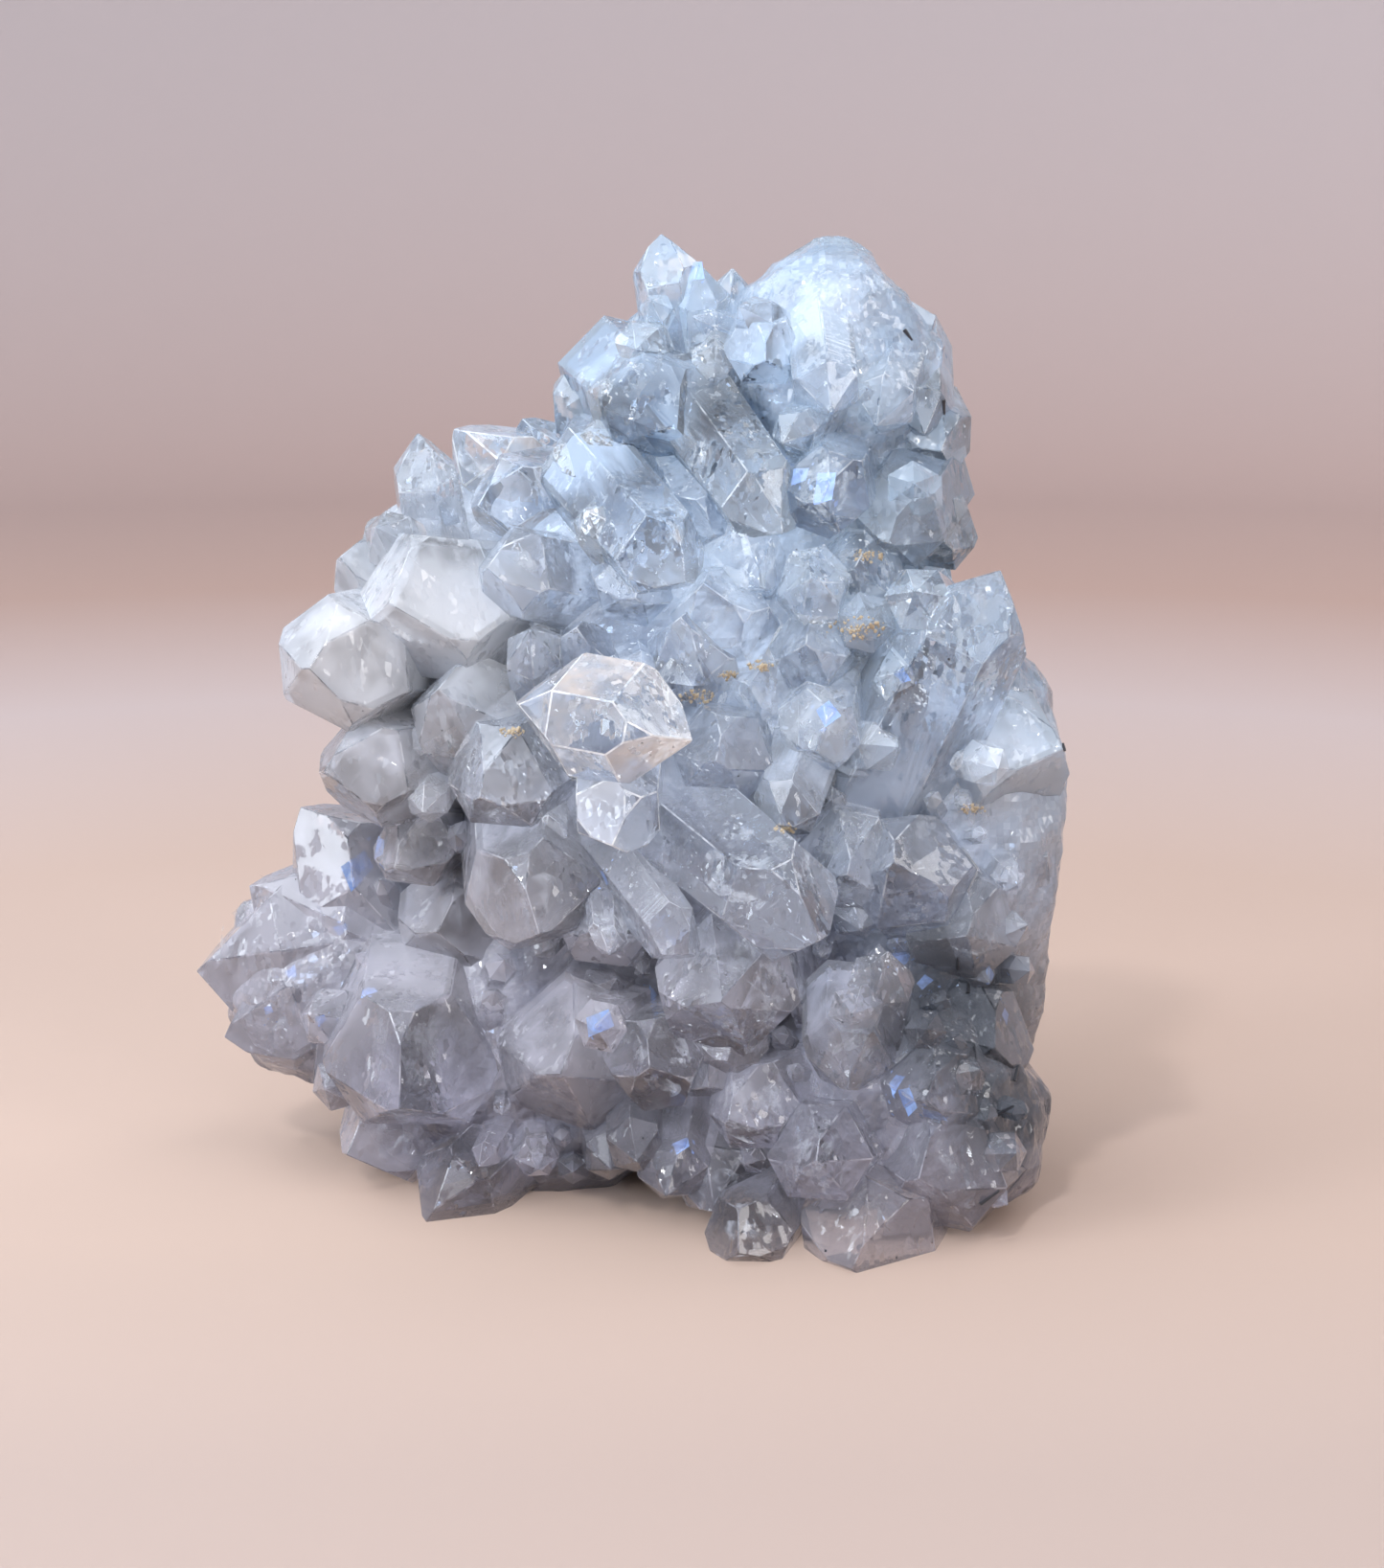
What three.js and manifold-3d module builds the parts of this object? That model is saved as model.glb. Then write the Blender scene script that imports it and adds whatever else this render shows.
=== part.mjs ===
// A clear quartz cluster: one mass of milky quartz, standing on its broken foot,
// with stout six-sided crystals grown together over its whole front.
// Millimetres, +Z up. The front faces -Y, and the foot stands on Z = 0.
import * as THREE from "three";
import { ConvexGeometry } from "three/addons/geometries/ConvexGeometry.js";
import { mergeVertices } from "three/addons/utils/BufferGeometryUtils.js";
import Module from "manifold-3d";

const wasm = await Module();
wasm.setup();

// ---------- Driving dimensions ----------

// Crystals and lumps are laid out on a drawing of the front, seen by an eye a little above
// the cluster. A place on the drawing is [across, up, near]: mm right of the middle,
// mm above the front of the foot, and mm towards the eye from the drawing's plane.
const EYE_DISTANCE = 340;
const EYE_TILT = THREE.MathUtils.degToRad(12);
const SIGHT_ACROSS = 5.75; // where the eye looks straight at the drawing
const SIGHT_UP = 51.15;
const SIGHT_SPOT = [7.25, -9.1, 45.8]; // that point in the cluster's own frame

// Quartz grows to fixed angles: each face of the point leans this far from the crystal's axis.
const POINT_NORMAL = THREE.MathUtils.degToRad(51.8);
const PRISM_TAPER = THREE.MathUtils.degToRad(2);
const SIDES = 6;
const PRISM_UNEVEN = 0.22; // how far a prism face may sit in or out, as a share of the half width
const MAJOR_BITE = 0.07; // how deep the three large point faces may cut, as a share of the width
const MINOR_STEP = 0.1; // how far the three small ones stand off, as a share of the width
const PLAIN_BELOW = 7; // a narrower crystal than this comes to a plain six-faced point

// Small crystals crowd the gaps. Their widths, and their lengths as a share of the width:
const SMALL_WIDTH = { least: 3.4, spread: 3.2 };
const SMALL_LENGTH = { least: 0.9, spread: 0.8 };
const BURIED = 4.5; // length of a small crystal's root inside the mass
const TUMBLE = 0.7; // how far small crystals lean out of line, as a share of their direction
const INSET = 0.92; // their tips keep inside the mass's outline drawn at this share
const LOWEST_ROOT = 4; // none grows below this height
const LOWEST_TIP = 1; // and none reaches lower than this
const OUTSIDE = 200; // a distance well clear of the mass on every side
const FLOOR_BLOCK = 300; // side of the block that cuts the foot flat

// ---------- Small helpers ----------

const RIGHT = new THREE.Vector3(1, 0, 0);
const UP = new THREE.Vector3(0, Math.sin(EYE_TILT), Math.cos(EYE_TILT));
const NEAR = new THREE.Vector3(0, -Math.cos(EYE_TILT), Math.sin(EYE_TILT));
const SIGHT = new THREE.Vector3(...SIGHT_SPOT);
const EYE = SIGHT.clone().addScaledVector(NEAR, EYE_DISTANCE);

function place([across, up, near]) {
  const shrink = (EYE_DISTANCE - near) / EYE_DISTANCE;
  return SIGHT.clone()
    .addScaledVector(RIGHT, (across - SIGHT_ACROSS) * shrink)
    .addScaledVector(UP, (up - SIGHT_UP) * shrink)
    .addScaledVector(NEAR, near);
}

// The place on the drawing, [across, up], where a point is seen.
function drawn(point) {
  const offset = point.clone().sub(SIGHT);
  const shrink = (EYE_DISTANCE - offset.dot(NEAR)) / EYE_DISTANCE;
  return [offset.dot(RIGHT) / shrink + SIGHT_ACROSS, offset.dot(UP) / shrink + SIGHT_UP];
}

// A repeatable number from 0 to 1 for a seed and a draw.
function chance(seed, draw) {
  const wave = Math.sin(seed * 12.9898 + draw * 78.233) * 43758.5453;
  return wave - Math.floor(wave);
}

function solidOf(geometry) {
  const bare = new THREE.BufferGeometry();
  bare.setAttribute("position", geometry.getAttribute("position"));
  if (geometry.index) bare.setIndex(geometry.index);
  const merged = mergeVertices(bare, 1e-4);
  return new wasm.Manifold(
    new wasm.Mesh({
      numProp: 3,
      vertProperties: merged.attributes.position.array,
      triVerts: new Uint32Array(merged.index.array),
    }),
  );
}

// ---------- Crystals ----------

// The corners of the solid that lies inside all these planes, each {normal, reach}.
function cornersInside(planes) {
  const corners = [];
  const slack = 1e-6;
  planes.forEach((a, i) =>
    planes.slice(i + 1).forEach((b, j) =>
      planes.slice(i + j + 2).forEach((c) => {
        const bc = new THREE.Vector3().crossVectors(b.normal, c.normal);
        const spread = a.normal.dot(bc);
        if (Math.abs(spread) < 1e-5) return;
        const ca = new THREE.Vector3().crossVectors(c.normal, a.normal);
        const ab = new THREE.Vector3().crossVectors(a.normal, b.normal);
        const corner = bc
          .multiplyScalar(a.reach)
          .addScaledVector(ca, b.reach)
          .addScaledVector(ab, c.reach)
          .divideScalar(spread);
        if (planes.some((p) => p.normal.dot(corner) > p.reach + slack)) return;
        if (corners.some((k) => k.distanceToSquared(corner) < 1e-6)) return;
        corners.push(corner);
      }),
    ),
  );
  return corners;
}

// The directions of the six sides round an axis, turned by spin degrees.
function sidesRound(axis, spin) {
  const level = Math.abs(axis.x) < 0.8 ? RIGHT : new THREE.Vector3(0, 0, 1);
  const first = level.clone().addScaledVector(axis, -level.dot(axis)).normalize();
  const second = new THREE.Vector3().crossVectors(axis, first);
  return Array.from({ length: SIDES }, (_, i) => {
    const turn = THREE.MathUtils.degToRad(spin + (360 / SIDES) * i);
    return first.clone().multiplyScalar(Math.cos(turn)).addScaledVector(second, Math.sin(turn));
  });
}

// A six-sided crystal from root to tip, in world space. flat thins it between two of its
// sides, and a double one ends in a point at both ends.
function crystalSolid({ tip, root, width, spin = 0, flat = 1, double = false, seed }) {
  const axis = tip.clone().sub(root).normalize();
  const planes = [];
  const add = (normal, through, out) =>
    planes.push({ normal, reach: normal.dot(through) + out });
  sidesRound(axis, spin).forEach((side, i) => {
    const squeeze = i % (SIDES / 2) === 0 ? flat : 1;
    const half = (width / 2) * squeeze * (1 + PRISM_UNEVEN * (chance(seed, i) - 0.5));
    const taper = double ? 0 : PRISM_TAPER;
    add(
      side.clone().multiplyScalar(Math.cos(taper)).addScaledVector(axis, Math.sin(taper)),
      tip.clone().addScaledVector(axis, -width),
      half,
    );
    const share = i % 2 === 0 ? -MAJOR_BITE : MINOR_STEP;
    const offset = (draw) => (width < PLAIN_BELOW ? 0 : share * width * chance(seed, draw));
    const lean = side.clone().multiplyScalar(Math.sin(POINT_NORMAL));
    const rise = Math.cos(POINT_NORMAL);
    add(lean.clone().addScaledVector(axis, rise), tip, offset(i + 10));
    if (double) add(lean.clone().addScaledVector(axis, -rise), root, offset(i + 20));
  });
  if (!double) add(axis.clone().negate(), root, 0);
  return solidOf(new ConvexGeometry(cornersInside(planes)));
}

// Each line is tip, root, width and extras, on the front drawing.
const crystals = [
  // Crown: a spire, and points that hang over the hollow below it
  [[2.6, 109.6, -7], [6.5, 88, -13], 7.6, { spin: 20 }],
  [[6.4, 106, -5], [7, 90, -13], 6.6, { spin: 35 }],
  [[10, 105.6, -11], [9.5, 97, -16], 6],
  [[13.4, 95.6, 4], [13.6, 99.5, -13], 7.4, { spin: 30 }],
  [[20.3, 90.2, 6], [18.6, 102, -8], 6.6, { spin: 5 }],
  [[25, 89, 2], [27.5, 99, -12], 6.5],
  [[30, 88, -3], [29, 98, -15], 6.5, { spin: 25 }],
  [[4.6, 88.6, 4], [-2, 94.5, -14], 11, { spin: 12 }],
  [[8, 93, 0], [8.5, 100, -12], 5.5],
  [[-6.8, 95.8, -10], [-5.5, 84, -16], 5],
  [[-1.8, 98.8, -11], [1, 88, -18], 6],

  // Left shoulder: a tooth, a window-clear point and two big milky ones
  [[-22.6, 88.6, -5], [-20.2, 73, -11], 8.6, { spin: 10, flat: 0.8 }],
  [[-19.4, 89.3, -9], [-9.5, 80, -16], 9, { spin: 28 }],
  [[-12, 90, -12], [-6, 80, -18], 7],
  [[-26.4, 70.6, 11], [-14.5, 69.5, -14], 15.6, { spin: 24 }],
  [[-34.2, 63.6, 12], [-24.5, 65, -14], 12.6, { spin: 5 }],
  [[-31, 75.5, -3], [-22, 70, -16], 8],
  [[-16.8, 80.6, 0], [-6, 82, -14], 8.4, { spin: 16 }],
  [[-16, 74.6, 9], [-4, 72, -9], 8.4, { spin: 10 }],

  // Upper middle: long prisms that run down to the right
  [[15.6, 77.4, 9], [4.5, 92.5, -7], 8.6, { spin: 22 }],
  [[5.4, 72.4, 11], [-5.5, 84.5, -6], 9, { spin: 20 }],
  [[-6, 83, 2], [-1, 90, -14], 8],
  [[0, 71, 8], [-2, 76, -12], 8, { spin: 15 }],
  [[12.8, 72, 8], [9, 81, -10], 8.4, { spin: 20 }],
  [[8.4, 77.4, 6], [4, 86, -11], 7.4, { spin: 44 }],
  [[19.2, 81, 12], [21.5, 85, -10], 8.4, { spin: 10 }],
  [[14.5, 90, -2], [16, 95, -18], 9],
  [[12.5, 81.5, 2], [12, 88, -16], 7.5, { spin: 33 }],
  [[26, 77, 5], [30, 84, -12], 9, { spin: 18 }],
  [[32, 86, -3], [29, 91, -16], 8],
  [[32.5, 77, -1], [29, 80, -16], 8, { spin: 20 }],

  // Middle: the clear doubly ended crystal and those that hold it
  [[6.4, 56.4, 18], [-13, 60, 11], 12, { spin: 20, double: true, flat: 0.88 }],
  [[-2.4, 44.8, 17], [-1.5, 57, 2], 8.8, { spin: 2 }],
  [[-11.2, 67.8, 8], [-9, 58, -6], 6],
  [[-6.5, 68.5, 6], [-5, 58, -8], 7.4, { spin: 12 }],
  [[6.9, 73, 10], [12, 63, -8], 8.6, { spin: 26 }],
  [[4.5, 69.4, 9], [7, 57, -6], 8.4, { spin: 14 }],
  [[8.5, 54, 14], [10, 57, -10], 9.2, { spin: 20 }],
  [[15, 47.2, 13], [18, 57, -6], 7.2, { spin: 38, flat: 0.7 }],
  [[18.2, 73.5, 10], [19.5, 69, -10], 7.4, { spin: 42 }],
  [[22.4, 74.5, 6], [23, 71, -10], 9.6, { spin: 8 }],
  [[17.4, 66.4, 8], [19, 64, -10], 8, { spin: 25 }],
  [[18.6, 55, 9], [20, 63, -10], 8.8, { spin: 12 }],
  [[12, 62, 7], [13, 60, -10], 7.5],

  // Middle: the big prisms that reach down to the right
  [[19.8, 35.4, 21], [-0.5, 52, -6], 11.6, { spin: 40, flat: 0.92 }],
  [[5.6, 33.6, 15], [-6, 49, -6], 7, { spin: 10, flat: 0.75 }],
  [[-2.8, 33.8, 10], [-3.4, 42.6, 0], 4.2, { spin: 30, flat: 0.7 }],
  [[-10.5, 35.5, 11], [-11, 49, -10], 13.2, { spin: 48 }],
  [[-16.8, 50.4, 13], [-9, 56, -8], 10.4, { spin: 30 }],
  [[-20.5, 62, 9], [-12, 52.5, -12], 11.5, { spin: 15 }],
  [[-33, 52.6, 6], [-19, 54.5, -11], 11, { spin: 12 }],
  [[-22.4, 48.6, 4], [-20, 54, -8], 4, { spin: 5 }],
  [[-25.5, 43, -1], [-20, 48, -14], 8.5, { spin: 30 }],
  [[-4, 36.5, 8], [-1, 38, -10], 9, { spin: 24 }],
  [[8.6, 28.6, 17], [11, 34, -10], 13, { spin: 15 }],

  // Left: a wing of blunt milky points
  [[-47.4, 32.2, -22], [-24, 36, -28], 18, { spin: 14 }],
  [[-43.8, 25.4, -20], [-24, 33, -26], 13, { spin: 35 }],
  [[-41.4, 41.5, -21], [-24, 35, -28], 16, { spin: 4 }],
  [[-35.6, 49.5, -19], [-24, 37, -26], 13, { spin: 22 }],
  [[-34.5, 20.4, -15], [-24, 30, -25], 12, { spin: 48 }],

  // Lower middle
  [[1.4, 21.8, 12], [3, 25, -10], 9.8, { spin: 38 }],
  [[9.4, 22.4, 9], [10, 31, -10], 7.6, { spin: 10 }],
  [[7.6, 19.6, 6], [8.4, 29, -12], 7, { spin: 32 }],
  [[-4.4, 26.2, 9], [0, 28, -8], 5.2, { spin: 20 }],
  [[0, 12.2, 5], [0.5, 19, -10], 5.8, { spin: 15 }],
  [[3, 8.6, 5], [5.5, 19, -10], 6.8, { spin: 45 }],
  [[-8.6, 21.6, 6], [-5, 26, -14], 14.6, { spin: 12 }],
  [[-24.4, 17.4, 4], [-22.5, 29, -18], 16, { spin: 30 }],
  [[-22.2, 5.8, -4], [-13, 14.5, -16], 9.4, { spin: 8 }],
  [[-30.4, 12.4, -9], [-22, 18, -20], 11, { spin: 25 }],
  [[-21, 36, -5], [-17, 38, -20], 13, { spin: 10 }],

  // Right: a tall leaning prism and the clear blocks beside and below it
  [[38.2, 75, 7], [25.5, 50, -8], 13, { spin: 15 }],
  [[29, 71.8, 12], [32, 69, -6], 6.4, { spin: 26 }],
  [[45.4, 55, 0], [33, 54, -14], 14, { spin: 30 }],
  [[43.6, 44, -5], [35, 42, -16], 12, { spin: 8 }],
  [[27, 44, 9], [31, 40, -12], 12.5, { spin: 34 }],
  [[34, 36, 5], [33, 38, -14], 11, { spin: 12 }],
  [[22, 42, 8], [22, 46, -10], 10, { spin: 18 }],
  [[22, 19.4, 11], [22.5, 30, 0], 8.4, { spin: 25 }],
  [[22.5, 27.6, 12], [23.5, 30, -6], 5.2, { spin: 44 }],
  [[9.4, 16.6, 9], [18, 20.5, -8], 9.6, { spin: 36 }],
  [[18.2, 12.4, 14], [22, 15, -8], 10.4, { spin: 28 }],
  [[30, 18.4, 11], [32, 22, -8], 9.8, { spin: 12 }],
  [[38, 24, 2], [34, 26, -14], 11, { spin: 20 }],
  [[29.4, 9.8, 11], [34.5, 15, -10], 12.8, { spin: 22 }],
  [[22.8, 0.4, 11.5], [27, 11, -9], 13, { spin: 8 }],
  [[10.2, 2.4, 10], [15, 9.5, -8], 8.8, { spin: 40 }],
  [[8, 6.6, 3], [10.5, 17, -12], 9.4, { spin: 22 }],
];

// ---------- The milky mass ----------

// Each lump is a middle on the front drawing, its half width, half depth and half height,
// and how many corners it has. Its corners lie round an egg, some of them worn further in.
const lumps = [
  [[6, 54, -19], [31, 21, 41], 64],
  [[20, 93, -12], [13.6, 13, 17], 60],
  [[21, 80, -17], [15.8, 15, 18], 30],
  [[5, 88, -18], [13, 12, 17], 30],
  [[-13, 70, -19], [20, 14, 18], 34],
  [[31.5, 43, -17], [17, 15, 32], 50],
  [[26, 17, -9], [18.5, 15, 17], 44],
  [[-12, 23, -21], [20.5, 16, 19], 40],
  [[-30, 31.5, -27], [16, 12.5, 14.5], 44],
  [[4, 44, -29], [31, 17, 42], 40],
  [[8, 78, -25], [23, 14, 25], 30],
];
const WEAR = 0.13; // how far in a worn corner lies, as a share of the lump's size

// The mass was broken from its rock: flat breaks across the back, each a heading in degrees
// round from +X, a rise in degrees, and its distance from the middle of the mass.
const breaks = [
  [88, 4, 30],
  [62, -8, 33],
  [118, 10, 34],
  [95, 34, 43],
  [84, -30, 49],
  [40, 18, 42],
  [150, -10, 53],
  [12, -4, 43.5],
  [128, 42, 52],
  [58, 40, 56],
];
// Planes that close the block well clear of the mass, on the sides that are not broken.
const CLEAR_REACH = 120;
const FRONT_BOUNDS = [
  [-90, 0, CLEAR_REACH],
  [-20, 60, CLEAR_REACH],
  [-160, 60, CLEAR_REACH],
  [-90, -60, CLEAR_REACH],
  [200, 0, CLEAR_REACH],
  [-20, 0, CLEAR_REACH],
];
const MASS_MIDDLE = SIGHT.clone().add(new THREE.Vector3(-3.75, 8.8, 2.2));

function lumpSolid([middle, half, corners], seed) {
  const centre = place(middle);
  const golden = Math.PI * (3 - Math.sqrt(5));
  const spots = Array.from({ length: corners }, (_, i) => {
    const rise = 1 - (2 * i + 1) / corners;
    const turn = golden * i + seed;
    const level = Math.sqrt(1 - rise * rise);
    const reach = 1 - WEAR * chance(seed, i) ** 2;
    return new THREE.Vector3(level * Math.cos(turn), level * Math.sin(turn), rise)
      .multiply(new THREE.Vector3(...half))
      .multiplyScalar(reach)
      .add(centre);
  });
  return solidOf(new ConvexGeometry(spots));
}

// Where a line from a point first meets a lump, and which way the lump faces there.
function meetLumps(from, along, share = 1) {
  let best = null;
  lumps.forEach(([middle, half]) => {
    const centre = place(middle);
    const scale = (v) => v.clone().divide(new THREE.Vector3(...half).multiplyScalar(share));
    const p = scale(from.clone().sub(centre));
    const q = scale(along);
    const a = q.dot(q);
    const b = p.dot(q);
    const gap = b * b - a * (p.dot(p) - 1);
    if (gap <= 0) return;
    const far = (-b - Math.sqrt(gap)) / a;
    if (best && best.far < far) return;
    const at = from.clone().addScaledVector(along, far);
    const facing = scale(scale(at.clone().sub(centre))).normalize();
    best = { far, at, facing };
  });
  return best;
}

// The block that the breaks leave.
function brokenBlock() {
  const planes = [...breaks, ...FRONT_BOUNDS].map(([heading, rise, reach]) => {
    const turn = THREE.MathUtils.degToRad(heading);
    const climb = THREE.MathUtils.degToRad(rise);
    const level = Math.cos(climb);
    const normal = new THREE.Vector3(level * Math.cos(turn), level * Math.sin(turn), Math.sin(climb));
    return { normal, reach: normal.dot(MASS_MIDDLE) + reach };
  });
  return solidOf(new ConvexGeometry(cornersInside(planes)));
}

// ---------- Small crystals that crowd the gaps ----------

const large = crystals.map(([tip, root, width, extras], i) => ({
  tip: place(tip),
  root: place(root),
  width,
  seed: i + 1,
  ...extras,
}));

// The milky rind stays smooth inside these circles on the drawing: [across, up, radius].
const smooth = [
  [15, 106, 5],
  [22, 103, 7],
  [28, 98, 7],
  [33, 91, 6],
  [36, 84, 5],
  [39, 77, 5],
  [43, 68, 5],
  [45, 37, 6],
  [44, 28, 5],
  [-37, 42, 9],
  [-42, 33, 8],
  [-34, 33, 6],
  [-38, 26, 7],
];

function staysSmooth(point) {
  const [across, up] = drawn(point);
  return smooth.some(([x, y, radius]) => Math.hypot(across - x, up - y) < radius);
}

// Small points over what shows from one side, where no large crystal stands.
function scatter({ from, step, rows, columns, lean, behind, seed }) {
  const toward = from.clone().negate();
  const across = new THREE.Vector3().crossVectors(toward, new THREE.Vector3(0, 0, 1)).normalize();
  const upward = new THREE.Vector3().crossVectors(across, toward);
  const centre = MASS_MIDDLE;
  const made = [];
  for (let row = 0; row < rows; row++)
    for (let column = 0; column < columns; column++) {
      const n = seed + row * columns + column;
      const roll = (draw) => chance(n, draw) - 0.5;
      const start = centre
        .clone()
        .addScaledVector(from, OUTSIDE)
        .addScaledVector(across, (column - (columns - 1) / 2 + (row % 2) / 2 + 0.5 * roll(1)) * step)
        .addScaledVector(upward, (row - (rows - 1) / 2 + 0.5 * roll(2)) * step);
      const met = meetLumps(start, toward);
      if (!met || met.at.z < LOWEST_ROOT || met.at.y > behind || staysSmooth(met.at)) continue;
      const axis = met.facing
        .clone()
        .multiplyScalar(1 - lean)
        .addScaledVector(NEAR, lean)
        .add(new THREE.Vector3(roll(3), roll(4), roll(5)).multiplyScalar(TUMBLE))
        .normalize();
      const width = SMALL_WIDTH.least + SMALL_WIDTH.spread * chance(n, 6);
      const length = width * (SMALL_LENGTH.least + SMALL_LENGTH.spread * chance(n, 7));
      const tip = met.at.clone().addScaledVector(axis, length);
      const root = met.at.clone().addScaledVector(axis, -BURIED);
      const sight = tip.clone().sub(EYE).normalize();
      if (!meetLumps(tip.clone().addScaledVector(sight, -OUTSIDE), sight, INSET)) continue;
      const crowded = [...large, ...made].some((c) => {
        const nearest = new THREE.Line3(c.root, c.tip).closestPointToPoint(tip, true, new THREE.Vector3());
        return nearest.distanceTo(tip) < c.width * 0.5 + width * 0.25;
      });
      if (crowded || tip.z < LOWEST_TIP) continue;
      made.push({ tip, root, width, spin: 60 * chance(n, 8), seed: n });
    }
  return made;
}

const small = [
  ...scatter({ from: NEAR, step: 7, rows: 15, columns: 14, lean: 0.45, behind: 50, seed: 100 }),
  ...scatter({
    from: new THREE.Vector3(-0.9, -0.35, 0.25).normalize(),
    step: 11, rows: 9, columns: 7, lean: 0.1, behind: 11, seed: 500,
  }),
];

// ---------- The cluster ----------

function clusterGeometry() {
  const grown = [...large, ...small].map(crystalSolid);
  const mass = wasm.Manifold.union(lumps.map((lump, i) => lumpSolid(lump, i + 1)));
  const broken = mass.intersect(brokenBlock());
  const whole = wasm.Manifold.union([broken, ...grown]);
  const block = new THREE.BoxGeometry(FLOOR_BLOCK, FLOOR_BLOCK, FLOOR_BLOCK);
  block.translate(0, 0, -FLOOR_BLOCK / 2);
  // The outer skin alone: hollows closed in between crystals are filled with quartz.
  const skins = whole.subtract(solidOf(block)).decompose();
  const outer = skins.reduce((a, b) => (b.volume() > a.volume() ? b : a));
  const { vertProperties, triVerts, numProp } = outer.getMesh();
  const geometry = new THREE.BufferGeometry();
  const spots = Array.from({ length: vertProperties.length / numProp }, (_, i) =>
    Array.from(vertProperties.slice(i * numProp, i * numProp + 3)),
  ).flat();
  geometry.setAttribute("position", new THREE.Float32BufferAttribute(spots, 3));
  geometry.setIndex(Array.from(triVerts));
  return geometry;
}

const quartz = new THREE.MeshStandardMaterial({ color: 0xc3cad6, roughness: 0.12, metalness: 0 });
const cluster = new THREE.Mesh(clusterGeometry(), quartz);
cluster.name = "quartz_cluster";

const part = new THREE.Group();
part.add(cluster);
export default part;
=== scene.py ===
# A clear quartz cluster on a pale floor: clear and milky crystals on a mass of milky quartz.
# The crystals stand where the CAD part's do. Places are in millimetres in the tables, and
# become metres when a mesh is made.
import math
from itertools import combinations

import bmesh
import bpy
import numpy as np
from mathutils import Matrix, Vector, noise
from mathutils.bvhtree import BVHTree


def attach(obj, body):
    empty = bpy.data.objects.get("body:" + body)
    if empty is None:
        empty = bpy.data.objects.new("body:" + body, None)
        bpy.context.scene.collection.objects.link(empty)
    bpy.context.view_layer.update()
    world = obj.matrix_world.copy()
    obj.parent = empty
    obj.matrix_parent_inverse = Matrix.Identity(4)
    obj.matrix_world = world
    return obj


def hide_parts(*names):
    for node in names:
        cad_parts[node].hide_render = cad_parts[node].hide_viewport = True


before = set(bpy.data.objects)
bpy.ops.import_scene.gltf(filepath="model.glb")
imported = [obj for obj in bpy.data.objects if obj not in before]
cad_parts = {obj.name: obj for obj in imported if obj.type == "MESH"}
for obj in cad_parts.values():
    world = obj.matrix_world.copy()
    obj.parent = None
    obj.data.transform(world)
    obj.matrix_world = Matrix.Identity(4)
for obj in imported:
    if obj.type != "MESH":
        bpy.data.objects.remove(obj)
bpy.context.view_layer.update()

# ---------- Driving dimensions, the same as the CAD part's ----------

MM = 0.001
EYE_DISTANCE = 340
EYE_TILT = math.radians(12)
SIGHT_ACROSS = 5.75
SIGHT_UP = 51.15
SIGHT_SPOT = Vector((7.25, -9.1, 45.8))

POINT_NORMAL = math.radians(51.8)
PRISM_TAPER = math.radians(2)
SIDES = 6
PRISM_UNEVEN = 0.22
MAJOR_BITE = 0.07
MINOR_STEP = 0.1
PLAIN_BELOW = 7

SMALL_WIDTH = (3.4, 3.2)  # least width of a small crystal, and how much wider one may be
SMALL_LENGTH = (0.9, 0.8)
FINE_WIDTH = (1.6, 1.8)
BURIED = 4.5
TUMBLE = 0.7
INSET = 0.92
LOWEST_ROOT = 4
LOWEST_TIP = 1
OUTSIDE = 200
WEAR = 0.13
CLEAR_REACH = 120

# ---------- Driving dimensions of the fine surface ----------

EDGE_MARK = 10000  # added to a crystal's number on the faces of its worn edges
HAIRLINE = 0.05  # air round the foot of a loosely grown crystal
EDGE_WEAR = 0.1  # width of the narrow bright bevel on a crystal's edges
CRISP_EDGE = 0.12  # the same on the clearest crystals
MASS_GRAIN = 0.75  # size of the mass's surface cells
FOOT_INSET = 0.6  # what lies inside the quartz ends this far above the foot
RIM = (0.15, 0.8)  # least depth of a glint under its crystal's face, and how much deeper one may be
QUARTZ_IOR = 1.544
BROKEN_ALL = 0.3  # how far any face is splintered, outside the zones named for it
SPLINTER_TILT = 2.0
FACE_RELIEF = 0.0001  # height of the growth lines and the mass's grain, in metres
CORE_RELIEF = 0.0008
CORE_INSET = 1.6  # from the mass's surface to the milky core
CORE_GRAIN = 1.1
STEPPED_FROM = 7.5  # least width of a crystal that has thin ones grown along its sides
CRACKED_FROM = 7.5  # least width of one with healed cracks
FOGGED_FROM = 4.8  # least width of one with fog
GLINTS_FROM = 3  # least width of one with glints
SPECKS = 170
SPECKS_OVER = (-42, 88, 108)  # left edge, width and height on the drawing

# ---------- The picture and the stage ----------

SENSOR = 36  # the camera's, along the picture's height
PICTURE_HEIGHT = 163.7  # what the camera takes in at the sight spot, from bottom to top
PICTURE_SHIFT = 5 / 1637  # of the picture's height
FLOOR_REACH = 0.62  # in metres, as are the rest of the stage's sizes
FLOOR_CURVE = 0.18
STAGE_STEPS = 96

# ---------- Places on the front drawing ----------

RIGHT = Vector((1, 0, 0))
UP = Vector((0, math.sin(EYE_TILT), math.cos(EYE_TILT)))
NEAR = Vector((0, -math.cos(EYE_TILT), math.sin(EYE_TILT)))
HALF = Vector((0.5, 0.5, 0.5))
EYE = SIGHT_SPOT + NEAR * EYE_DISTANCE
MASS_MIDDLE = SIGHT_SPOT + Vector((-3.75, 8.8, 2.2))


def place(spot):
    across, up, near = spot
    shrink = (EYE_DISTANCE - near) / EYE_DISTANCE
    return (
        SIGHT_SPOT
        + RIGHT * (across - SIGHT_ACROSS) * shrink
        + UP * (up - SIGHT_UP) * shrink
        + NEAR * near
    )


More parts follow.
